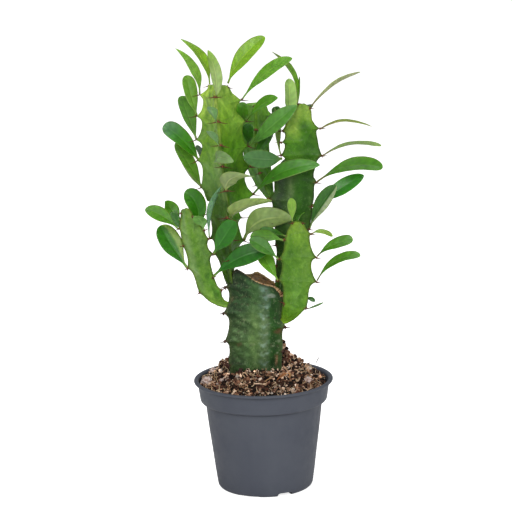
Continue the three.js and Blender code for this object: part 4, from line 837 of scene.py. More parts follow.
def finer(v, f):
    v, out, seen = [tuple(x) for x in v], [], {}

    def mid(a, b):
        k = (min(a, b), max(a, b))
        if k not in seen:
            p = unit(np.array(v[a]) + np.array(v[b]))
            seen[k] = len(v)
            v.append(tuple(p))
        return seen[k]

    for a, b, c in f:
        d, e, g = mid(a, b), mid(b, c), mid(c, a)
        out += [(a, d, g), (b, e, d), (c, g, e), (d, e, g)]
    return np.array(v), out


BALL1 = finer(ICO_V, ICO_F)
BALL2 = finer(*BALL1)


class Heap:
    """Many small closed bodies gathered into one mesh."""

    def __init__(self):
        self.v, self.f, self.c, self.n = [], [], [], 0

    def add(self, pts, faces, colour):
        pts = np.asarray(pts, float)
        self.v.append(pts)
        self.f += [tuple(i + self.n for i in f) for f in faces]
        colour = np.asarray(colour, float)
        self.c.append(np.broadcast_to(colour, pts.shape) if colour.ndim == 1 else colour)
        self.n += len(pts)

    def object(self, name, flat=False):
        return make_mesh(name, np.vstack(self.v), self.f, paint=np.vstack(self.c), flat=flat)


def areole(heap, at, out, along, size, length, seed, old=False, spread=1.0, rise=0.6):
    """A brown pad with a pair of spines that spread sideways, and two tiny ones."""
    r = np.random.default_rng(seed)
    across = unit(np.cross(out, along))
    v, f = BALL1
    pad = (v[:, :1] * across * size * 0.62 + v[:, 1:2] * along * size * 0.8 + v[:, 2:3] * out * size * 0.42)
    pad = pad * (1 + 0.16 * r.normal(size=(len(v), 1)))
    brown = lin(136, 84, 54) if not old else lin(82, 52, 40)
    heap.add(at + out * 0.1 + pad * 0.8, f, brown * r.uniform(0.8, 1.15))
    for sgn in (-1, 1):
        wide = spread * r.uniform(0.85, 1.2)
        way = unit(across * sgn * wide + out * rise * r.uniform(0.8, 1.2) + along * r.uniform(-0.3, 0.15))
        l = length * r.uniform(0.85, 1.12) * (r.uniform(0.35, 0.6) if old and r.random() < 0.25 else 1)
        start = at + across * sgn * size * 0.3 - along * size * 0.1
        pts, fc = cone(start, start + way * l, 0.5 + 0.08 * size, 0.1, bow=-along * l * 0.05)
        shade = lin(104, 50, 34) if not old else lin(66, 40, 34)
        tip = np.linspace(0, 1, 5).repeat(6)
        col = np.vstack([mix(np.broadcast_to(shade, (30, 3)), shade * 0.4, tip), [shade, shade * 0.4]])
        heap.add(pts, fc, col)
        if not old:
            way = unit(across * sgn * 0.9 + along * 0.9 + out * 0.4)
            start = at + across * sgn * size * 0.32 + along * size * 0.45
            pts, fc = cone(start, start + way * l * 0.28, 0.22, 0.05, sides=5, steps=2)
            heap.add(pts, fc, shade * 1.2)


def spines_of(stem, name, size, length, old=False, skip=(), spread=1.0, rise=0.6):
    heap = Heap()
    for k, (a0, a1, teeth) in enumerate(stem.ribs):
        for i, (s, rad) in enumerate(teeth):
            if (k, i) in skip:
                continue
            s_ = min(max(s, 0.4), stem.L - 0.2)
            p, t, r, front, side = stem.frame_at(s_)
            d = stem.direction(stem.angle(k, s_), front, side)
            young = smooth(stem.L, stem.L - 14, s_)
            areole(heap, p + d * (rad - 0.15), d, t, size * (0.75 + 0.25 * young), length * (0.7 + 0.3 * young), 911 * (k + 1) + 31 * i + len(name), old, spread, rise)
    return heap.object(name)


# ---------------------------------------------------------------------- pot
def build_pot():
    prof = [(0, 0), (20, 0), (37.6, 0), (38.8, 0.12), (39.8, 0.55), (40.55, 1.25), (41.1, 2.3), (41.4, 3.6), (41.75, 6),
            (43.2, 16), (44.9, 30), (46.2, 40), (47.5, 50), (48.7, 60), (49.8, 70), (50.3, 74.2), (50.45, 75.3), (50.8, 75.9),
            (53.6, 76.9), (54.3, 77.25), (54.7, 77.8), (54.9, 78.7), (55.7, 84.5), (56.5, 90), (56.9, 92.3),
            (57.15, 92.75), (57.8, 93.0), (58.9, 93.15), (59.55, 93.4), (59.9, 93.85), (60.0, 94.35), (59.85, 94.85), (59.45, 95.2), (58.9, 95.38),
            (58.2, 95.42), (57.2, 95.36), (56.5, 95.1), (56.0, 94.6), (55.75, 93.9), (55.6, 92.8), (55.4, 91), (54.5, 85), (53.8, 80.2),
            (53.4, 79.1), (52.7, 78.1), (50.2, 75.7), (49.4, 74.8), (48.75, 73.4), (48.4, 71.7), (46, 50), (43.4, 30), (40.6, 9), (40.1, 5.6), (39.2, 3.4), (37.4, 2.1), (35, 1.8), (0, 1.8)]
    prof = np.array(prof, float)
    seg = 256
    ang = np.arange(seg) * 2 * math.pi / seg
    rings = prof[1:-1]
    # the moulding is never dead round: a very slight oval and a few soft flats
    G = np.zeros((len(rings), seg, 3))
    for i, (r, z) in enumerate(rings):
        rr = r * (1 + 0.0012 * np.sin(2 * ang + 0.6) * (z / 95) + 0.0006 * np.sin(5 * ang + 1.0))
        G[i, :, 0], G[i, :, 1], G[i, :, 2] = rr * np.cos(ang), rr * np.sin(ang), z
    n = len(rings)
    pts = np.vstack([G.reshape(-1, 3), [(0, 0, 0)], [(0, 0, 1.8)]])
    ob = make_mesh("pot_shell", pts, capped(n, seg, n * seg, n * seg + 1))
    # drainage notches through the bottom corner, and shallow feet between them
    notches = [(24 + 120 * k, 6.7, 3.3, -29.5) for k in range(3)] + [(-21 + 120 * k, 9.6, 0.9, -35.5) for k in range(3)]
    for k, (deg, w, h, inner) in enumerate(notches):
        turn_ = math.radians(deg)
        bm_pts, bm_faces = [], []
        r_ = min(0.9, h / 2)
        outline = [(-w - 0.6, -3), (-w - 0.2, 0.0), (-w, h - 2.2 * r_), (-w + 0.5 * r_, h - 0.8 * r_), (-w + 1.6 * r_, h - 0.15 * r_), (-w + 2.8 * r_, h),
                   (w - 2.8 * r_, h), (w - 1.6 * r_, h - 0.15 * r_), (w - 0.5 * r_, h - 0.8 * r_), (w, h - 2.2 * r_), (w + 0.2, 0.0), (w + 0.6, -3)]
        if h < 2:
            outline = [(-w - 0.3, -3), (-w, 0.0), (-w + 1.2, h), (w - 1.2, h), (w, 0.0), (w + 0.3, -3)]
        for y in (-44.2, inner):
            for x, z in outline:
                bm_pts.append((x * math.cos(turn_) - y * math.sin(turn_), x * math.sin(turn_) + y * math.cos(turn_), z))
        m = len(outline)
        for i in range(m):
            j = (i + 1) % m
            bm_faces.append((i, j, m + j, m + i))
        bm_faces.append(tuple(range(m))[::-1])
        bm_faces.append(tuple(range(m, 2 * m)))
        cut = make_mesh(f"notch_{k}", bm_pts, bm_faces, flat=True)
        me = cut.data
        import bmesh
        bm = bmesh.new()
        bm.from_mesh(me)
        bmesh.ops.recalc_face_normals(bm, faces=bm.faces)
        bm.to_mesh(me)
        bm.free()
        mod = ob.modifiers.new(f"notch_{k}", "BOOLEAN")
        mod.operation, mod.solver, mod.object = "DIFFERENCE", "EXACT", cut
    bpy.context.view_layer.update()
    dg = bpy.context.evaluated_depsgraph_get()
    done = bpy.data.meshes.new_from_object(ob.evaluated_get(dg))
    for mod in list(ob.modifiers):
        ob.modifiers.remove(mod)
    ob.data = done
    for k in range(len(notches)):
        bpy.data.objects.remove(bpy.data.objects[f"notch_{k}"])
    done.shade_smooth()
    done.set_sharp_from_angle(angle=math.radians(50))
    return piece(ob, MAT_POT, "pot_plastic", "pot")


# --------------------------------------------------------------------- soil
def soil_height(x, y):
    near = np.exp(-((np.hypot(x + 6, y - 2) / 38) ** 4))
    heap = 12 * np.exp(-(((x - 24) ** 2 + (y - 20) ** 2) / 400)) + 7 * np.exp(-(((x + 30) ** 2 + (y - 12) ** 2) / 200))
    crumbs = 0.8 * np.sin(x * 0.61 + 1.3) * np.cos(y * 0.53 - 0.4) + 0.5 * np.sin(x * 0.23 - y * 0.31)
    return 90.6 + 14.5 * near + heap + crumbs * np.where(np.hypot(x, y) > 46, 0.5, 1)


def soil_surface(x, y):
    P = np.stack([x, y, np.zeros_like(x)], -1)
    r = np.hypot(x, y)
    fade = smooth(56, 48, r)
    return soil_height(x, y) - 0.6 + (0.9 * wobble(P, 7, 5) + 0.55 * wobble(P, 3.1, 6) + 0.25 * wobble(P, 1.5, 7)) * (0.35 + 0.65 * fade)


def build_soil():
    cols = 240
    ang = np.arange(cols) * 2 * math.pi / cols
    wall = [(36.6, 2.2), (39.1, 6), (43.0, 30), (47.9, 72), (49.0, 75.7), (52.8, 80.2), (54.2, 85), (54.75, 88)]
    rows = [np.stack([r * np.cos(ang), r * np.sin(ang), np.full(cols, z)], -1) for r, z in wall]
    for r in np.concatenate([[54.9, 54.3], np.arange(53.3, 0.9, -1.05)]):
        x, y = r * np.cos(ang), r * np.sin(ang)
        rows.append(np.stack([x, y, soil_surface(x, y)], -1))
    G = np.array(rows)
    n = len(rows)
    pts = np.vstack([G.reshape(-1, 3), [(0, 0, 2.2)], [(0, 0, float(soil_surface(np.array([0.0]), np.array([0.0]))[0]))]])
    colour = mix(np.broadcast_to(lin(20, 14, 11), pts.shape), lin(62, 42, 31), smooth(0.0, 1.1, wobble(pts, 3, 12)))
    ob = make_mesh("soil_bed", pts, capped(n, cols, n * cols, n * cols + 1), paint=colour)
    return piece(ob, MAT_SOIL, "soil", "soil")


def trunk_gap(x, y):
    """Distance outside the old stem's outline at soil level, roughly, in mm."""
    p, t, r, front, side = TRUNK.frame_at(22.0)
    ring, _, _ = TRUNK.ring(22.0)
    c = ring.mean(0)
    a = np.arctan2(y - c[1], x - c[0])
    ra = np.arctan2(ring[:, 1] - c[1], ring[:, 0] - c[0])
    order = np.argsort(ra)
    rr = np.hypot(ring[:, 0] - c[0], ring[:, 1] - c[1])
    return np.hypot(x - c[0], y - c[1]) - np.interp(a, ra[order], rr[order], period=2 * math.pi)


def build_litter():
    r = np.random.default_rng(42)
    browns = [lin(40, 28, 24), lin(74, 50, 40), lin(122, 88, 68), lin(178, 142, 116), lin(98, 62, 48), lin(220, 192, 168), lin(20, 14, 12), lin(240, 224, 210)]
    weights = np.array([0.2, 0.15, 0.12, 0.12, 0.08, 0.1, 0.15, 0.08])

    def place(n, rmax=54.2, clear=0.6):
        out = []
        while len(out) < n:
            rr, a = rmax * math.sqrt(r.random()), r.uniform(0, 2 * math.pi)
            x, y = rr * math.cos(a), rr * math.sin(a)
            if trunk_gap(np.array([x]), np.array([y]))[0] > clear:
                out.append((x, y))
        P = np.array(out)
        return np.column_stack([P, soil_surface(P[:, 0], P[:, 1])])

    def lump(heap, ball, at, size, colour, squash=(1, 1, 1), rough=0.22):
        v, f = ball
        q = v * np.array(squash) * size
        q = q * (1 + rough * wobble(v * 3 + at, 2.2, 77)[:, None] + 0.5 * rough * r.normal(size=(len(v), 1)))
        ax = unit(r.normal(size=3))
        rot = np.array(Matrix.Rotation(r.uniform(0, 6.28), 3, Vector(ax)))
        heap.add(q @ rot.T + at, f, colour)

    # peat crumbs, coarse ones and fine ones
    for name, count, middle, spread, top in (("soil_grains", 760, 0.16, 0.34, 2.3), ("soil_crumbs", 1700, -0.5, 0.3, 1.2)):
        heap = Heap()
        for at in place(count):
            size = float(np.clip(r.lognormal(middle, spread), 0.35, top))
            size = min(size, 0.8) if np.hypot(at[0], at[1]) > 52.5 else size
            k = r.choice(len(browns), p=weights)
            lump(heap, BALL1, at + np.array([0, 0, size * 0.3 + abs(r.normal()) * 0.7]), size, browns[k] * float(np.clip(math.exp(0.45 * r.normal()), 0.35, 2.2)), (1, r.uniform(0.6, 1), r.uniform(0.55, 0.95)), 0.3)
        piece(heap.object(name, flat=True), MAT_CRUMB, "soil")

    # bark and coir chips: thin splintered slabs lying every way
    heap = Heap()
    box = np.array([(-1, -1, -1), (1, -1, -1), (1, 1, -1), (-1, 1, -1), (-1, -1, 1), (1, -1, 1), (1, 1, 1), (-1, 1, 1)], float)
    box_f = [(0, 3, 2, 1), (4, 5, 6, 7), (0, 1, 5, 4), (1, 2, 6, 5), (2, 3, 7, 6), (3, 0, 4, 7)]
    for at in place(420, 52.0, 1.2):
        l, w, h = r.uniform(1.1, 3.6), r.uniform(0.5, 1.3), r.uniform(0.22, 0.55)
        v = box * np.array([l, w, h]) * (1 + 0.22 * r.normal(size=(8, 3)))
        v[:, 2] += 0.25 * r.normal() * (v[:, 0] / l) ** 2
        rot = np.array(Matrix.Rotation(r.uniform(0, 6.28), 3, "Z") @ Matrix.Rotation(r.normal() * 0.45, 3, "Y") @ Matrix.Rotation(r.normal() * 0.5, 3, "X"))
        k = r.choice([1, 2, 3, 5, 4])
        heap.add(v @ rot.T + at + np.array([0, 0, 0.7]), box_f, browns[k] * r.uniform(0.7, 1.5))
    piece(heap.object("soil_bark", flat=True), MAT_FIBRE, "soil")

    # perlite: foamed white lumps
    heap = Heap()
    spots = [(-48.5, -4, 5.0), (-43.2, 8.5, 3.4), (-36.0, -16, 2.1), (-33.2, -15, 1.8), (-38.6, -17.5, 1.7), (-31.4, -18.2, 1.4), (38.8, -9, 3.7), (35.2, -11, 2.0),
             (42.0, -10.4, 1.6), (-22, -26, 1.2), (10, -35, 1.3), (31, -22, 1.2), (26, -34, 1.4), (-12, -42, 1.0), (47, 10, 1.8), (33, 30, 2.6), (-8, 40, 2.8),
             (-30, 33, 2.2), (12, 44, 1.9), (-46, 18, 1.6), (20, -30, 1.1), (40, 22, 1.5), (-5, -36, 0.9), (3, -45, 1.0), (37, -30, 1.2)]
    for x, y, size in spots:
        z = float(soil_surface(np.array([x]), np.array([y]))[0])
        v, f = BALL2
        q = v * size * np.array([1, 0.9, 0.85])
        q = q * (1 + 0.15 * wobble(v * size, size * 1.1, int(x * 7 + 400))[:, None] + 0.13 * wobble(v * size, 1.3, int(x * 5 + 900))[:, None] + 0.05 * r.normal(size=(len(v), 1)))
        tone = lin(226, 210, 204) * r.uniform(0.8, 1.0)
        col = mix(np.broadcast_to(tone, q.shape), lin(140, 98, 76), smooth(-0.3, 0.8, wobble(q + at, 1.5, 9)) * 0.85)
        heap.add(q + np.array([x, y, z + size * 0.45]), f, col)
    for at in place(170, 52.5, 0.8):
        size = float(np.clip(r.lognormal(-0.7, 0.35), 0.28, 1.1))
        lump(heap, BALL1, at + np.array([0, 0, size * 0.6]), size, lin(222, 204, 188) * r.uniform(0.7, 1.05), (1, 0.9, 0.8), 0.15)
    piece(heap.object("soil_perlite_lumps"), MAT_PERLITE, "soil")

    # pale curly fibres and a few twigs
    heap = Heap()

    def thread(points, rad, colour, sides=5):
        P = np.array(points, float)
        T = unit(np.gradient(P, axis=0))
        X = unit(np.cross(T, [0.2, 0.3, 0.93]))
        Y = np.cross(T, X)
        w = np.arange(sides) * 2 * math.pi / sides
        taper = np.sqrt(np.clip(np.minimum(np.arange(len(P)) + 0.6, len(P) - np.arange(len(P)) - 0.4) / 2.0, 0.3, 1))
        G = P[:, None] + (X[:, None] * np.cos(w)[None, :, None] + Y[:, None] * np.sin(w)[None, :, None]) * (rad * taper)[:, None, None]
        n = len(P)
        pts = np.vstack([G.reshape(-1, 3), [P[0]], [P[-1]]])
        heap.add(pts, capped(n, sides, n * sides, n * sides + 1), colour)

    for at in place(520, 52.0, 0.8):
        n = r.integers(7, 13)
        length = r.uniform(2.5, 8.5)
        head, tilt = r.uniform(0, 6.28), r.normal() * 0.25
        curl, rise = r.normal() * 0.35, r.normal() * 0.12
        q = [at + np.array([0, 0, 0.7 + abs(r.normal()) * 0.5])]
        for _ in range(n):
            head += curl + r.normal() * 0.1
            tilt += rise
            q.append(q[-1] + np.array([math.cos(head) * math.cos(tilt), math.sin(head) * math.cos(tilt), math.sin(tilt)]) * length / n)
        q = np.array(q)
        floor_ = soil_surface(q[:, 0], q[:, 1]) + 0.25
        q[:, 2] = np.maximum(q[:, 2], floor_)
        edge = np.hypot(q[:, 0], q[:, 1])
        q[:, :2] *= np.minimum(1, 53.6 / np.maximum(edge, 1))[:, None]
        colour = [lin(196, 166, 130), lin(160, 122, 90), lin(220, 196, 162), lin(118, 84, 64)][r.choice(4, p=[0.32, 0.22, 0.34, 0.12])] * r.uniform(0.85, 1.2)
        thread(q, r.uniform(0.16, 0.34), colour)
    # fibres and twigs that stand out at the foot of the stem
    named = [
        ([(-9, -27, 103.6), (-8.2, -27.6, 106.2), (-6.6, -28, 108.6), (-4.9, -28.2, 110.9)], 0.42, lin(196, 170, 140)),
        ([(-15.6, -29, 104.2), (-17.8, -29.4, 106.4), (-17.4, -29.6, 108.4), (-15.0, -29.6, 108.2), (-13.4, -29.6, 105.4)], 0.5, lin(206, 172, 140)),
        ([(14.5, -28, 102.4), (17.6, -28.3, 105.6), (20.6, -28.6, 107.2), (22.8, -28.4, 105.6), (21.4, -28.2, 102.6)], 0.5, lin(196, 140, 92)),
        ([(11.6, -29, 101.2), (14.0, -29.6, 103.8), (16.6, -30, 106.4), (18.6, -30, 107.4)], 0.55, lin(160, 104, 66)),
        ([(22.6, -26, 101.8), (23.4, -26.6, 104.6), (22.4, -26.8, 106.9), (20.4, -26.8, 107.6)], 0.45, lin(190, 150, 108)),
        ([(45.6, 4, 106.4), (46.6, 3.4, 108.2), (47.2, 3, 110.0), (48.4, 2.6, 111.8)], 0.38, lin(66, 46, 38)),
        ([(-26.0, -8, 113.5), (-27.6, -8.5, 116.5), (-27.4, -9, 119.4), (-25.8, -9, 120.6)], 0.3, lin(90, 72, 56)),
        ([(1, -33, 100.8), (3.6, -33.6, 103.2), (6.8, -34, 104.4)], 0.4, lin(186, 146, 106)),
    ]
    for q, rad, colour in named:
        q = np.array(q, float)
        fine = np.array([[np.interp(u, np.linspace(0, 1, len(q)), q[:, i]) for i in range(3)] for u in np.linspace(0, 1, 12)])
        fine[1:-1] = 0.25 * fine[:-2] + 0.5 * fine[1:-1] + 0.25 * fine[2:]
        thread(fine, rad, colour, 6)
    piece(heap.object("soil_fibres"), MAT_FIBRE, "soil")

    # chips banked up behind the stem on the right
    heap = Heap()
    for x, y, z, size, col in [(18.6, 15, 115.0, 2.6, browns[1]), (18.2, 15.5, 117.8, 2.4, browns[5]), (18.6, 16, 120.2, 1.9, browns[3]), (18.2, 16.5, 122.2, 1.8, browns[0]), (17.9, 16.8, 123.9, 1.5, browns[2]), (20.4, 15, 117.0, 2.0, browns[0]), (21.5, 14, 123.8, 2.6, browns[2]), (24.5, 12, 120.2, 2.2, browns[5]), (28, 15, 119.6, 2.0, browns[1]), (33.5, 16, 117.6, 1.9, browns[2]),
                               (38.5, 13, 114.8, 1.7, browns[3]), (23, 8, 117.5, 2.2, browns[4]), (43.5, 8, 110.9, 1.6, browns[1]), (-36, 8, 109.5, 2.0, browns[1]), (-31.5, 10, 111.5, 1.8, browns[2])]:
        z0 = float(soil_surface(np.array([float(x)]), np.array([float(y)]))[0])
        lump(heap, BALL2, np.array([x, y, min(z, z0 + (12.0 if 0 < x < 20.5 else size * 0.9))]), size, col * 1.1, (1, 0.8, 0.8), 0.2)
    piece(heap.object("soil_lumps", flat=True), MAT_CRUMB, "soil")


# -------------------------------------------------------------------- trunk
def cut_height(x, y):
    z = np.interp(x, CUT_LINE[:, 0], CUT_LINE[:, 1])
    share = (y + 10) / 32
    return z + share * (np.where(x > 13, z + 4, CUT_BACK) - z) * np.where((x > 11) & (x < 13), 0.6, 1)


def build_trunk():
    stem = TRUNK
    G, s, face, q = stem_grid(stem, 0.8)
    G, phase, crest = relief(stem, G, s, face, q, 0.9, 301)
    rows, cols = G.shape[:2]
    over = G[..., 2] - cut_height(G[..., 0], G[..., 1])
    s_cut = np.full(cols, s[-1])
    for j in range(cols):
        hit = np.where((over[:, j] > 0) & (s > 60))[0]
        if len(hit) and hit[0] > 0:
            i = hit[0]
            a, b = over[i - 1, j], over[i, j]
            s_cut[j] = s[i - 1] + (s[i] - s[i - 1]) * (-a) / (b - a)
    # re-space each column so that its last row lies on the cut
    knee = 60.0
    H, PH = np.zeros_like(G), np.zeros((rows, cols))
    for j in range(cols):
        sj = np.where(s <= knee, s, knee + (s - knee) * (s_cut[j] - knee) / (s[-1] - knee))
        for i in range(3):
            H[:, j, i] = np.interp(sj, s, G[:, j, i])
        PH[:, j] = np.interp(sj, s, phase[:, j])
    f = H[..., 2]
    x = H[..., 0]
    n1, n2, n3 = wobble(H, 13, 71), wobble(H * np.array([1, 1, 1.6]), 6.0, 72), wobble(H, 3.6, 73)
    n4, n5 = wobble(H, 2.0, 74), wobble(H * np.array([1, 1, 0.3]), 3.0, 76)
    q2 = np.broadcast_to(q[None, :], f.shape)
    front_face = np.broadcast_to((face == 0)[None, :], f.shape).astype(float)
    # dark skin, with paler arms that run up and outward like a herringbone
    c = mix(np.broadcast_to(skin(50, 74, 40), H.shape), skin(66, 90, 50), smooth(-0.8, 0.8, n1))
    wave = np.sin((f - 0.62 * np.abs(x - 1.0)) * 2 * math.pi / 8.3 + 0.9 * n2 + 0.5 * n3)
    arms = smooth(0.1, 1.0, wave) * smooth(0.02, 0.1, q2) * smooth(0.46, 0.36, q2)
    c = mix(c, skin(102, 132, 88), np.clip(arms * (0.82 + 0.3 * n3), 0, 1) * front_face)
    c = mix(c, skin(80, 106, 66), bell(q2, 0.3, 0.08) * front_face * 0.45)
    c = mix(c, skin(96, 122, 76), bell(q2, 0.5, 0.12) * front_face * (0.82 + 0.25 * n3))
    # painted sheen: a pale bluish-grey band right of the middle of the front face, with the herringbone arms drawn
    # paler through it
    sheen_band_arms = smooth(0.0, 1.0, wave) * smooth(0.54, 0.6, q2) * smooth(0.82, 0.76, q2)
    c = mix(c, skin(78, 100, 66), bell(q2, 0.69, 0.11) * front_face * 0.85)
    c = mix(c, skin(112, 136, 116), np.clip(sheen_band_arms * (0.75 + 0.4 * n3), 0, 1) * front_face * 0.85)
    # painted shade: a dark band by the right rib, where the face turns away from the light
    c = mix(c, skin(38, 76, 26), bell(q2, 0.85, 0.08) * front_face * smooth(100, 112, f) * (0.85 + 0.15 * n3))
    # painted sheen: the top of the same bright band
    c = mix(c, skin(92, 110, 88), bell(q2, 0.72, 0.14) * front_face * smooth(160, 176, f) * 0.5)
    c = mix(c, skin(52, 74, 36), smooth(0.28, 0.1, q2) * front_face * smooth(160, 178, f) * 0.7)
    # across the front face: darker by the left rib, lighter in the middle, a painted sheen band at q 0.66 to 0.74 and
    # painted shade at q 0.8 to 0.92 by the right rib
    front_light_and_shade = ramp(q2, (0.0, (0.7, 0.8, 0.66)), (0.33, (0.72, 0.84, 0.7)), (0.43, (1.12, 1.25, 1.0)), (0.58, (1.2, 1.32, 1.1)), (0.66, (1.7, 1.7, 1.8)), (0.74, (1.5, 1.5, 1.6)), (0.8, (0.66, 1.1, 0.5)), (0.92, (0.66, 1.1, 0.5)), (1.0, (0.8, 1.0, 0.7)))
    c = mix(c, c * front_light_and_shade, front_face)
    c = c * mix(np.ones(H.shape), (0.62, 0.76, 0.62), smooth(158, 172, f) * smooth(0.62, 0.5, q2))
    c = c * mix(np.ones(H.shape), (0.68, 0.78, 0.86), smooth(146, 164, f) * front_face)
    # painted shade: the dark band by the right rib, lower down
    c = c * mix(np.ones(H.shape), (0.52, 0.66, 0.5), bell(q2, 0.88, 0.08) * smooth(142, 132, f) * front_face)
    c = c * mix(np.ones(H.shape), (1.35, 1.35, 1.35), bell(q2, 0.33, 0.1) * smooth(140, 128, f) * front_face)
    c = c * mix(np.ones(H.shape), (0.6, 0.64, 0.64), smooth(120, 112, f + 1.5 * n3))
    back = 1 - front_face
    c = mix(c, skin(84, 108, 66), bell(q2, 0.5, 0.1) * back * 0.7)
    c = mix(c, skin(86, 110, 72), smooth(0.1, 1.0, np.sin(f * 2 * math.pi / 8.3 + 2.0 * np.abs(2 * q2 - 1) + n2)) * back * smooth(0.05, 0.2, q2) * smooth(0.95, 0.8, q2) * 0.45)
    # mottling, pale specks and dark pits
    c = mix(c, c * np.array([1.6, 1.45, 1.7]), np.clip(0.5 * smooth(0.4, 1.3, n3) + 0.25 * smooth(0.8, 1.4, n4) + 0.35 * smooth(0.7, 1.4, n5), 0, 1))
    c = mix(c, c * np.array([0.56, 0.62, 0.58]), np.clip(0.55 * smooth(0.4, 1.3, -n3) + 0.5 * smooth(0.8, 1.3, -n4), 0, 1))

    def mark(x0, z0, rx, rz, colour, strength, base):
        k = np.exp(-(((x - x0) / rx) ** 2) - (((f - z0) / rz) ** 2)) * front_face
        return mix(base, colour, smooth(0.25, 0.8, k * (1 + 0.3 * n3)) * strength)

    for x0, z0, rx, rz, colour, strength in [
            (16.5, 139.5, 7.5, 3.2, skin(88, 60, 40), 0.8), (8.5, 170.5, 4.2, 2.0, skin(146, 162, 150), 0.75), (11.6, 113.5, 1.3, 6.5, skin(150, 112, 88), 0.8),
            (21.4, 153.0, 0.9, 9.0, skin(140, 160, 150), 0.8), (14.0, 131.0, 1.8, 1.4, skin(130, 146, 118), 0.7), (8.5, 126.5, 1.6, 1.2, skin(130, 146, 118), 0.7),
            (17.5, 124.0, 1.5, 1.5, skin(120, 136, 110), 0.7), (3.5, 137.5, 1.4, 1.1, skin(140, 156, 120), 0.7), (12.5, 120.5, 1.3, 1.0, skin(140, 150, 126), 0.7),
            (-14.5, 150.0, 1.8, 1.2, skin(124, 144, 100), 0.6), (-9.0, 128.0, 2.2, 1.6, skin(116, 138, 94), 0.6), (-20.0, 128.5, 3.0, 2.4, skin(92, 66, 46), 0.6),
            (-25.5, 168.5, 2.2, 3.0, skin(84, 62, 42), 0.5)]:
        c = mark(x0, z0, rx, rz, colour, strength, c)
    c = mix(c, skin(58, 50, 36), smooth(0.7, 1.6, wobble(H, 3.2, 75)) * 0.6)
    c = mix(c, skin(50, 44, 32), smooth(108, 97, f + 2.5 * n2) * 0.8)
    rim = smooth(0.93, 1.0, np.abs(2 * q2 - 1))
    c = mix(c, skin(70, 88, 50), rim * 0.6)
    c = mix(c, skin(74, 50, 34), rim * smooth(0.16, 0.03, PH) * 0.7)
    c = mix(c, skin(36, 40, 26), smooth(3.2, 0.4, s[-1] - np.broadcast_to(s[:, None], f.shape)) * 0.7)
    # top: dried lip, then the sunken callus
    edge = H[-1]
    centre = np.array([edge[:, 0].mean(), edge[:, 1].mean()])
    top_rows, top_paint = [], []
    tan, brown, dark = lin(196, 164, 122), lin(128, 92, 48), lin(70, 48, 28)
    left = smooth(-6, -16, edge[:, 0])
    for fr, lift in [(0.995, 0.55), (0.975, 0.95), (0.95, 0.75), (0.92, 0.1), (0.885, -0.6), (0.84, -1.0), (0.78, -1.2), (0.7, -1.2), (0.6, -1.1), (0.5, -1.0), (0.4, -1.0), (0.3, -1.1), (0.2, -1.2), (0.1, -1.3)]:
        xy = centre + (edge[:, :2] - centre) * fr
        z = cut_height(xy[:, 0], xy[:, 1]) + lift
        z0 = edge[:, 2]
        z = np.where(fr > 0.9, z0 + (cut_height(xy[:, 0], xy[:, 1]) - cut_height(edge[:, 0], edge[:, 1])) + lift, z)
        P = np.column_stack([xy, z])
        P[:, 2] += 0.45 * wobble(P * np.array([1, 1, 0]), 4.5, 81) * min(1, (1 - fr) * 8) + 0.2 * wobble(P * np.array([1, 1, 0]), 1.6, 82)
        top_rows.append(P)
        k = wobble(P, 3.0, 83)
        base = mix(np.broadcast_to(brown, P.shape), dark, smooth(-0.2, 1.1, k) * 0.8)
        lip = mix(np.broadcast_to(tan, P.shape), dark, left * 0.85)
        top_paint.append(mix(base, lip, np.full(cols, float(smooth(0.9, 0.95, fr)))))
    A = np.concatenate([H, np.array(top_rows)])
    C = np.concatenate([c, np.array(top_paint)])
    n = A.shape[0]
    bottom, mid = A[0].mean(0), A[-1].mean(0)
    pts = np.vstack([A.reshape(-1, 3), [bottom], [mid]])
    pnt = np.vstack([C.reshape(-1, 3), [C[0].mean(0)], [C[-1].mean(0)]])
    ob = make_mesh("trunk_stem", pts, capped(n, cols, n * cols, n * cols + 1), paint=pnt)
    # the healed bark has swollen into a lumpy roll down the right-hand rib
    heap, r = Heap(), np.random.default_rng(8)
    line = [edge[j] for j in range(cols) if face[j] == 0 and 0.36 < q[j] < 0.99 or face[j] == 1 and q[j] < 0.16]
    line = np.array(line)
    reach = np.concatenate([[0], np.cumsum(np.linalg.norm(np.diff(line, axis=0), axis=1))])
    for u in np.arange(0, reach[-1], 0.8):
        at = np.array([np.interp(u, reach, line[:, i]) for i in range(3)])
        share = u / reach[-1]
        size = 0.55 + 1.2 * float(smooth(0.3, 0.75, share)) + r.uniform(-0.12, 0.3)
        v, fc = BALL2
        lump = v * size * (1 + 0.16 * wobble(v * size + at, 1.2, 15)[:, None])
        tone = lin(200, 166, 126) * r.uniform(0.75, 1.1) if r.random() < 0.75 else lin(130, 88, 56)
        heap.add(lump * np.array([1, 1, 0.9]) + at + np.array([0, 0.4, 0.35]), fc, tone)
    piece(heap.object("callus_roll"), MAT_CORK, "old_stem")
    return piece(ob, MAT_OLD, "old_stem", "trunk")


# ------------------------------------------------------------------- shoots
ROUND_TIP = [(0.94, 0.5), (0.82, 0.85), (0.64, 0.9), (0.44, 0.6), (0.24, 0.2)]
ROUND_BASE = [(0.9, 0.5), (0.7, 1.0), (0.4, 1.3)]


def build_shoot(key, ground, amount=0.8, pale=0.5, veins=0.5):
    stem = STEM[key]
    G, s, face, q = stem_grid(stem, 0.8)
    G, phase, crest = relief(stem, G, s, face, q, amount, 100 + ord(key))
    shape = G.shape[:2]
    F, Q, K = np.broadcast_to((s / stem.L)[:, None], shape), np.broadcast_to(q[None, :], shape), np.broadcast_to(face[None, :], shape)
    c = young_paint(stem, G, s, phase, crest, q, ground(F, Q, K, G), 200 + ord(key), pale, veins)
    pts, pnt, faces = close_ends(G, c, ROUND_BASE, ROUND_TIP, -SINK[key], 1.4)
    ob = make_mesh(stem.node + "_stem", pts, faces, paint=pnt)
    return piece(ob, MAT_YOUNG, "young_stem", stem.node)


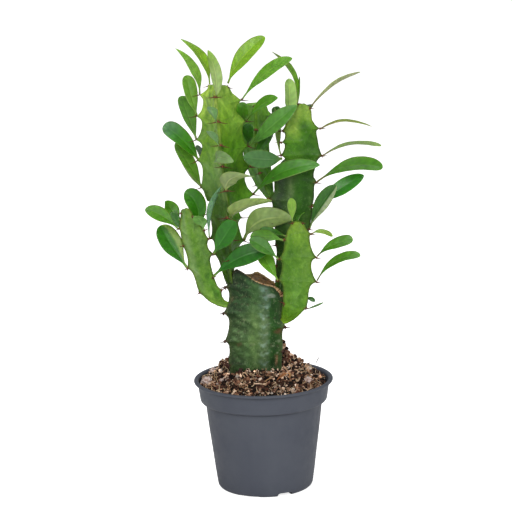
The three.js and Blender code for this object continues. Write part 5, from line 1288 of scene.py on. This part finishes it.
def ground_a(F, Q, K, G):
    c = ramp(F, (0.0, skin(106, 142, 58)), (0.18, SPRING), (0.34, GRASS), (0.6, GRASS), (0.85, SPRING), (1.0, LIME))
    n = wobble(G * np.array([1, 1, 0.5]), 9, 31)
    # painted sheen: a paler grey-green strip by the left rib of the front face
    c = mix(c, skin(112, 144, 84), bell(Q, 0.16, 0.2) * smooth(0.2, 0.4, F) * (0.9 + 0.2 * n))
    c = mix(c, GRASS, bell(Q, 0.46, 0.13) * smooth(0.2, 0.4, F) * 0.8)
    c = mix(c, skin(96, 134, 64), bell(Q, 0.8, 0.18) * smooth(0.4, 0.6, F) * 0.8)
    c = mix(c, LEAFY, bell(Q, 0.72, 0.2) * bell(F, 0.24, 0.12) * 0.9)
    c = c * mix(np.broadcast_to((1.0, 1.06, 0.9), G.shape), (0.86, 1.03, 0.72), smooth(0.6, 0.9, Q) * smooth(0.5, 0.3, F))
    back = (K > 0).astype(float)
    return mix(c, ramp(F, (0.0, OLIVE), (0.4, GRASS), (1.0, SPRING)), back)


def ground_b(F, Q, K, G):
    left = ramp(F, (0.0, MURK), (0.06, LEAFY), (0.2, skin(80, 120, 54)), (0.42, SAGE), (0.56, skin(98, 138, 68)), (0.7, skin(104, 146, 52)),
                (0.81, SPRING), (0.9, skin(142, 176, 86)), (1.0, LIME))
    right = ramp(F, (0.0, MURK), (0.05, skin(68, 104, 40)), (0.12, skin(72, 124, 42)), (0.3, skin(68, 104, 52)), (0.4, skin(84, 132, 48)), (0.5, skin(62, 102, 36)),
                 (0.58, DEEP), (0.63, skin(72, 120, 34)), (0.72, skin(72, 120, 22)), (0.79, skin(92, 134, 38)), (0.88, skin(118, 158, 58)), (1.0, LIME))
    n = wobble(G * np.array([1, 1, 0.4]), 11, 55)
    left = mix(left, ASH, bell(Q, 0.3, 0.2) * smooth(-0.3, 0.8, n) * smooth(0.5, 0.3, F) * 0.5)
    left = mix(left, DEEP, bell(Q, 0.72, 0.1) * smooth(0.3, 1.0, wobble(G, 6, 56)) * smooth(0.85, 0.6, F) * 0.6)
    right = mix(right, GRASS, bell(Q, 0.8, 0.12) * smooth(0.3, 0.5, F) * smooth(0.75, 0.6, F) * 0.45)
    left = left * mix(np.broadcast_to((0.8, 0.88, 0.45), G.shape), (1.52, 1.5, 1.28), smooth(0.44, 0.56, F)) * mix(np.ones(G.shape), (1.2, 1.18, 1.05), smooth(0.78, 0.9, F))
    right = right * mix(np.broadcast_to((1.3, 1.45, 0.6), G.shape), (1.75, 1.68, 1.0), smooth(0.5, 0.66, F)) * mix(np.ones(G.shape), (0.8, 0.82, 1.1), smooth(0.84, 0.92, F))
    right = right * mix(np.ones(G.shape), (1.3, 1.2, 2.2), smooth(0.35, 0.6, Q) * smooth(0.6, 0.7, F) * smooth(0.9, 0.82, F))
    # painted highlights: pale patches on the left face by the front rib
    left = mix(left, PALE * 1.25, bell(Q, 0.84, 0.12) * smooth(0.35, 0.5, F) * np.clip(0.3 + 0.75 * wobble(G * np.array([1, 1, 0.7]), 6, 61), 0, 0.9))
    left = mix(left, ASH * 1.25, smooth(0.1, 0.9, wobble(G * np.array([1, 1, 0.5]), 8, 62)) * smooth(0.35, 0.5, F) * 0.55)
    left = mix(left, skin(96, 140, 72), smooth(0.3, 1.1, wobble(G, 5, 63)) * 0.5)
    right = right * mix(np.ones(G.shape), (0.86, 0.92, 0.9), smooth(0.6, 0.75, F)) * mix(np.ones(G.shape), (1.45, 1.4, 0.9), smooth(0.2, 0.08, F)) * mix(np.ones(G.shape), (0.84, 0.86, 0.8), bell(F, 0.76, 0.06))
    c = mix(left, right, (K == 1).astype(float))
    return mix(c, ramp(F, (0.0, OLIVE), (0.5, GRASS), (1.0, LIME)), (K == 2).astype(float))


def ground_c(F, Q, K, G):
    high = ramp(F, (0.66, skin(70, 114, 32)), (0.72, skin(86, 130, 42)), (0.8, skin(80, 126, 36)), (0.9, SPRING), (1.0, skin(126, 162, 68)))
    high = mix(high, skin(120, 155, 66), bell(Q, 0.3, 0.2) * smooth(0.8, 0.88, F) * 0.8)
    high = mix(high, LEAFY, bell(Q, 0.68, 0.17) * smooth(0.95, 0.86, F) * smooth(0.7, 0.76, F) * 0.85)
    high = high * mix(np.broadcast_to((1.15, 1.15, 0.8), G.shape), (0.52, 0.76, 0.22), smooth(0.35, 0.6, Q) * smooth(0.97, 0.9, F)) * mix(np.ones(G.shape), (0.68, 0.9, 0.5), smooth(0.9, 0.8, F) * smooth(0.6, 0.35, Q))
    low = ramp(Q, (0.0, skin(66, 96, 40)), (0.12, MURK), (0.3, MURK), (0.44, OLIVE), (0.52, OLIVE), (0.62, skin(44, 80, 18)), (0.85, skin(48, 86, 22)), (1.0, skin(70, 104, 38)))
    low = mix(low, ramp(F, (0.0, skin(84, 112, 56)), (0.2, skin(62, 92, 38)), (0.5, DEEP)), 0.45 + 0 * F)
    n = wobble(G * np.array([1, 1, 0.35]), 5, 57)
    low = mix(low, skin(96, 116, 80), smooth(0.6, 1.4, n) * 0.55)
    low = low * np.array([0.66, 0.98, 0.42])
    low = mix(low, skin(96, 122, 72), bell(Q, 0.4, 0.09) * smooth(0.3, 0.45, F) * (0.7 + 0.2 * n))
    low = mix(low, skin(48, 64, 44), bell(Q, 0.15, 0.12) * smooth(0.3, 0.5, F) * 0.7)
    low = mix(low, skin(50, 102, 16), bell(Q, 0.64, 0.13) * smooth(0.3, 0.5, F) * 0.85)
    c = mix(low, high, smooth(0.64, 0.72, F + 0.02 * wobble(G, 6, 58)))
    back = (K > 0).astype(float)
    return mix(c, ramp(F, (0.0, OLIVE), (0.6, LEAFY), (1.0, SPRING)), back * 0.8)


def ground_d(F, Q, K, G):
    c = ramp(F, (0.0, skin(100, 138, 34)), (0.12, skin(96, 138, 36)), (0.3, GRASS), (0.7, GRASS), (0.88, SPRING), (1.0, skin(120, 156, 54)))
    c = mix(c, skin(84, 130, 36), bell(Q, 0.2, 0.2) * smooth(0.3, 0.5, F) * smooth(0.95, 0.85, F) * 0.9)
    c = mix(c, skin(106, 146, 62), bell(Q, 0.82, 0.2) * smooth(0.4, 0.6, F) * 0.7)
    c = mix(c, skin(104, 148, 68), bell(Q, 0.5, 0.17) * bell(F, 0.36, 0.16) * 0.8)
    c = c * ramp(F, (0.0, (1.4, 1.4, 0.8)), (0.14, (1.0, 1.15, 0.7)), (0.4, (1.0, 1.08, 0.8)), (0.7, (0.9, 1.0, 0.66)), (1.0, (0.95, 1.0, 0.56)))
    back = (K > 0).astype(float)
    return mix(c, ramp(F, (0.0, GRASS), (1.0, SPRING)), back * 0.8)


def ground_e(F, Q, K, G):
    return ramp(F, (0.0, OLIVE), (0.3, skin(84, 132, 44)), (0.7, GRASS), (1.0, SPRING)) * np.array([1.22, 1.55, 0.95])


STEM = {k: Stem(k) for k in STEMS}
TRUNK = STEM["T"]

build_pot()
build_soil()
build_litter()
build_trunk()
build_shoot("A", ground_a, 0.8, 0.8, 0.85)
build_shoot("B", ground_b, 0.9, 0.95, 1.0)
build_shoot("C", ground_c, 0.6, 0.55, 0.55)
build_shoot("D", ground_d, 0.6, 0.5, 0.55)
build_shoot("E", ground_e, 0.7, 0.6, 0.5)

piece(spines_of(TRUNK, "trunk_spines", 2.3, 5.4, old=True), MAT_SPINE, "old_stem")
for key, size, length, spread, rise in (("A", 1.5, 4.2, 1.0, 0.6), ("B", 1.5, 9.0, 1.3, 0.5), ("C", 1.5, 6.4, 1.1, 0.6), ("D", 1.6, 4.8, 1.0, 0.7), ("E", 1.5, 4.0, 1.0, 0.6)):
    piece(spines_of(STEM[key], STEM[key].node + "_spines", size, length, spread=spread, rise=rise), MAT_SPINE, "young_stem")

for i, (name, key, a, m, b, width, up) in enumerate(LEAVES):
    ob = leaf_mesh(name + "_blade", a, m, b, width, up, LOOK.get(name, {}), 1000 + i)
    piece(ob, MAT_LEAF, "leaf", name)

for i, (name, a, m, b, width, up, look) in enumerate([
    ('bud_leaf_13', (-65.4, -18.0, 231.2), (-70.3, -17.0, 238.0), (-74.3, -16.0, 245.6), 9, (0.05, -0.98, 0.17), {'tone': 'dark', 'top': (46, 96, 28), 'tip': 2.8, 'blunt': 0.5}),
    ('bud_leaf_12', (19.6, 4.0, 317.3), (16.8, 8.0, 323.6), (15.0, 12.0, 329.4), 8, (-0.14, -0.85, 0.51), {'tone': 'dark', 'tip': 3.0, 'blunt': 0.5}),
    ('bud_leaf_1', (34.3, -24.0, 160.2), (44.1, -23.0, 163.2), (52.4, -24.0, 166.9), 1.9, (-0.08, -0.97, 0.22), {'tone': 'dark', 'top': (64, 100, 44), 'stalk': (84, 84, 52)}),
    ('bud_leaf_2', (36.6, -22.0, 169.2), (41.3, -23.0, 170.1), (44.8, -24.0, 167.5), 4.0, (-0.18, -0.95, 0.27), {'tone': 'dark'}),
    ('bud_leaf_3', (33.9, 12.0, 331.2), (35.8, 12.0, 343.0), (36.3, 14.0, 354.4), 7, (-0.95, -0.29, 0.12), {'tone': 'fresh'}),
    ('bud_leaf_5', (-34.3, -33.0, 324.2), (-36.7, -42.0, 333.1), (-38.9, -50.0, 339.7), 9, (0.25, 0.61, 0.75), {'tone': 'blue', 'top': (104, 144, 92), 'under': (108, 146, 96)}),
    ('bud_leaf_6', (-32.5, -33.0, 304.1), (-36.8, -44.0, 313.5), (-40.6, -52.0, 319.9), 9, (0.34, 0.51, 0.79), {'tone': 'blue', 'top': (104, 144, 92), 'under': (108, 146, 96)}),
    ('bud_leaf_7', (31.0, -22.0, 234.6), (33.2, -22.0, 240.5), (37.4, -24.0, 244.6), 2.2, (-0.85, -0.11, 0.52), {'tone': 'mid'}),
    ('bud_leaf_8', (30.7, -18.0, 233.8), (31.2, -18.0, 238.0), (33.4, -16.0, 241.0), 2.2, (-0.52, -0.75, 0.4), {'tone': 'deep'}),
]):
    ob = leaf_mesh(name, a, m, b, width, up, dict(look, rows=22, cols=4, thick=0.8, wave=0.1), 3000 + i)
    piece(ob, MAT_LEAF, "leaf")

# -------------------------------------------------------------------- stage
floor_pts = [(-6000, -6000, 0), (6000, -6000, 0), (6000, 6000, 0), (-6000, 6000, 0)]
floor = make_mesh("floor", np.array(floor_pts, float) + np.array([0, 0, -0.05]), [(0, 1, 2, 3)])
fl = Nodes("floor_white")
fl.put(fl.blend(fl.range(fl.noise(4, 2), 0.3, 0.7, 0, 1), (0.93, 0.93, 0.93), (0.95, 0.95, 0.95)), fl.bsdf.inputs["Base Color"])
fl.bsdf.inputs["Roughness"].default_value = 0.95
fl.bsdf.inputs["Specular IOR Level"].default_value = 0.1
fl.bsdf.inputs["Emission Color"].default_value = (1, 1, 1, 1)
fl.put(fl.maths("MULTIPLY", fl.add("ShaderNodeLightPath").outputs["Is Camera Ray"], 0.8), fl.bsdf.inputs["Emission Strength"])
floor.data.materials.append(fl.mat)

world = bpy.data.worlds.new("studio")
bpy.context.scene.world = world
world.use_nodes = True
wt = world.node_tree
for n in list(wt.nodes):
    wt.nodes.remove(n)
out = wt.nodes.new("ShaderNodeOutputWorld")
seen, lit = wt.nodes.new("ShaderNodeBackground"), wt.nodes.new("ShaderNodeBackground")
seen.inputs["Color"].default_value, seen.inputs["Strength"].default_value = (1, 1, 1, 1), 1.1
lit.inputs["Color"].default_value, lit.inputs["Strength"].default_value = (0.99, 0.995, 1.0, 1), 0.34
path, pick = wt.nodes.new("ShaderNodeLightPath"), wt.nodes.new("ShaderNodeMixShader")
wt.links.new(path.outputs["Is Camera Ray"], pick.inputs[0])
wt.links.new(lit.outputs[0], pick.inputs[1])
wt.links.new(seen.outputs[0], pick.inputs[2])
wt.links.new(pick.outputs[0], out.inputs[0])


def softbox(name, at, aim, size, power, colour=(1, 1, 1)):
    data = bpy.data.lights.new(name, "AREA")
    data.shape, data.size, data.size_y = "RECTANGLE", size[0], size[1]
    data.energy, data.color = power, colour
    ob = bpy.data.objects.new(name, data)
    bpy.context.scene.collection.objects.link(ob)
    ob.location = at
    ob.rotation_mode = "QUATERNION"
    ob.rotation_quaternion = (Vector(aim) - Vector(at)).to_track_quat("-Z", "Y")
    return ob


softbox("key", (-0.45, -1.85, 1.45), (0, 0, 0.2), (1.1, 1.1), 25, (1.0, 0.985, 0.96))
softbox("fill", (1.1, -1.6, 0.95), (0, 0, 0.2), (1.2, 1.4), 11, (0.98, 0.99, 1.0))
softbox("top", (0.1, 0.3, 1.9), (0, 0, 0.2), (1.2, 1.2), 12)

bpy.context.scene.view_settings.view_transform = "Standard"
bpy.context.scene.view_settings.look = "None"
bpy.context.scene.view_settings.exposure = 0.0
bpy.context.scene.view_settings.gamma = 1.0
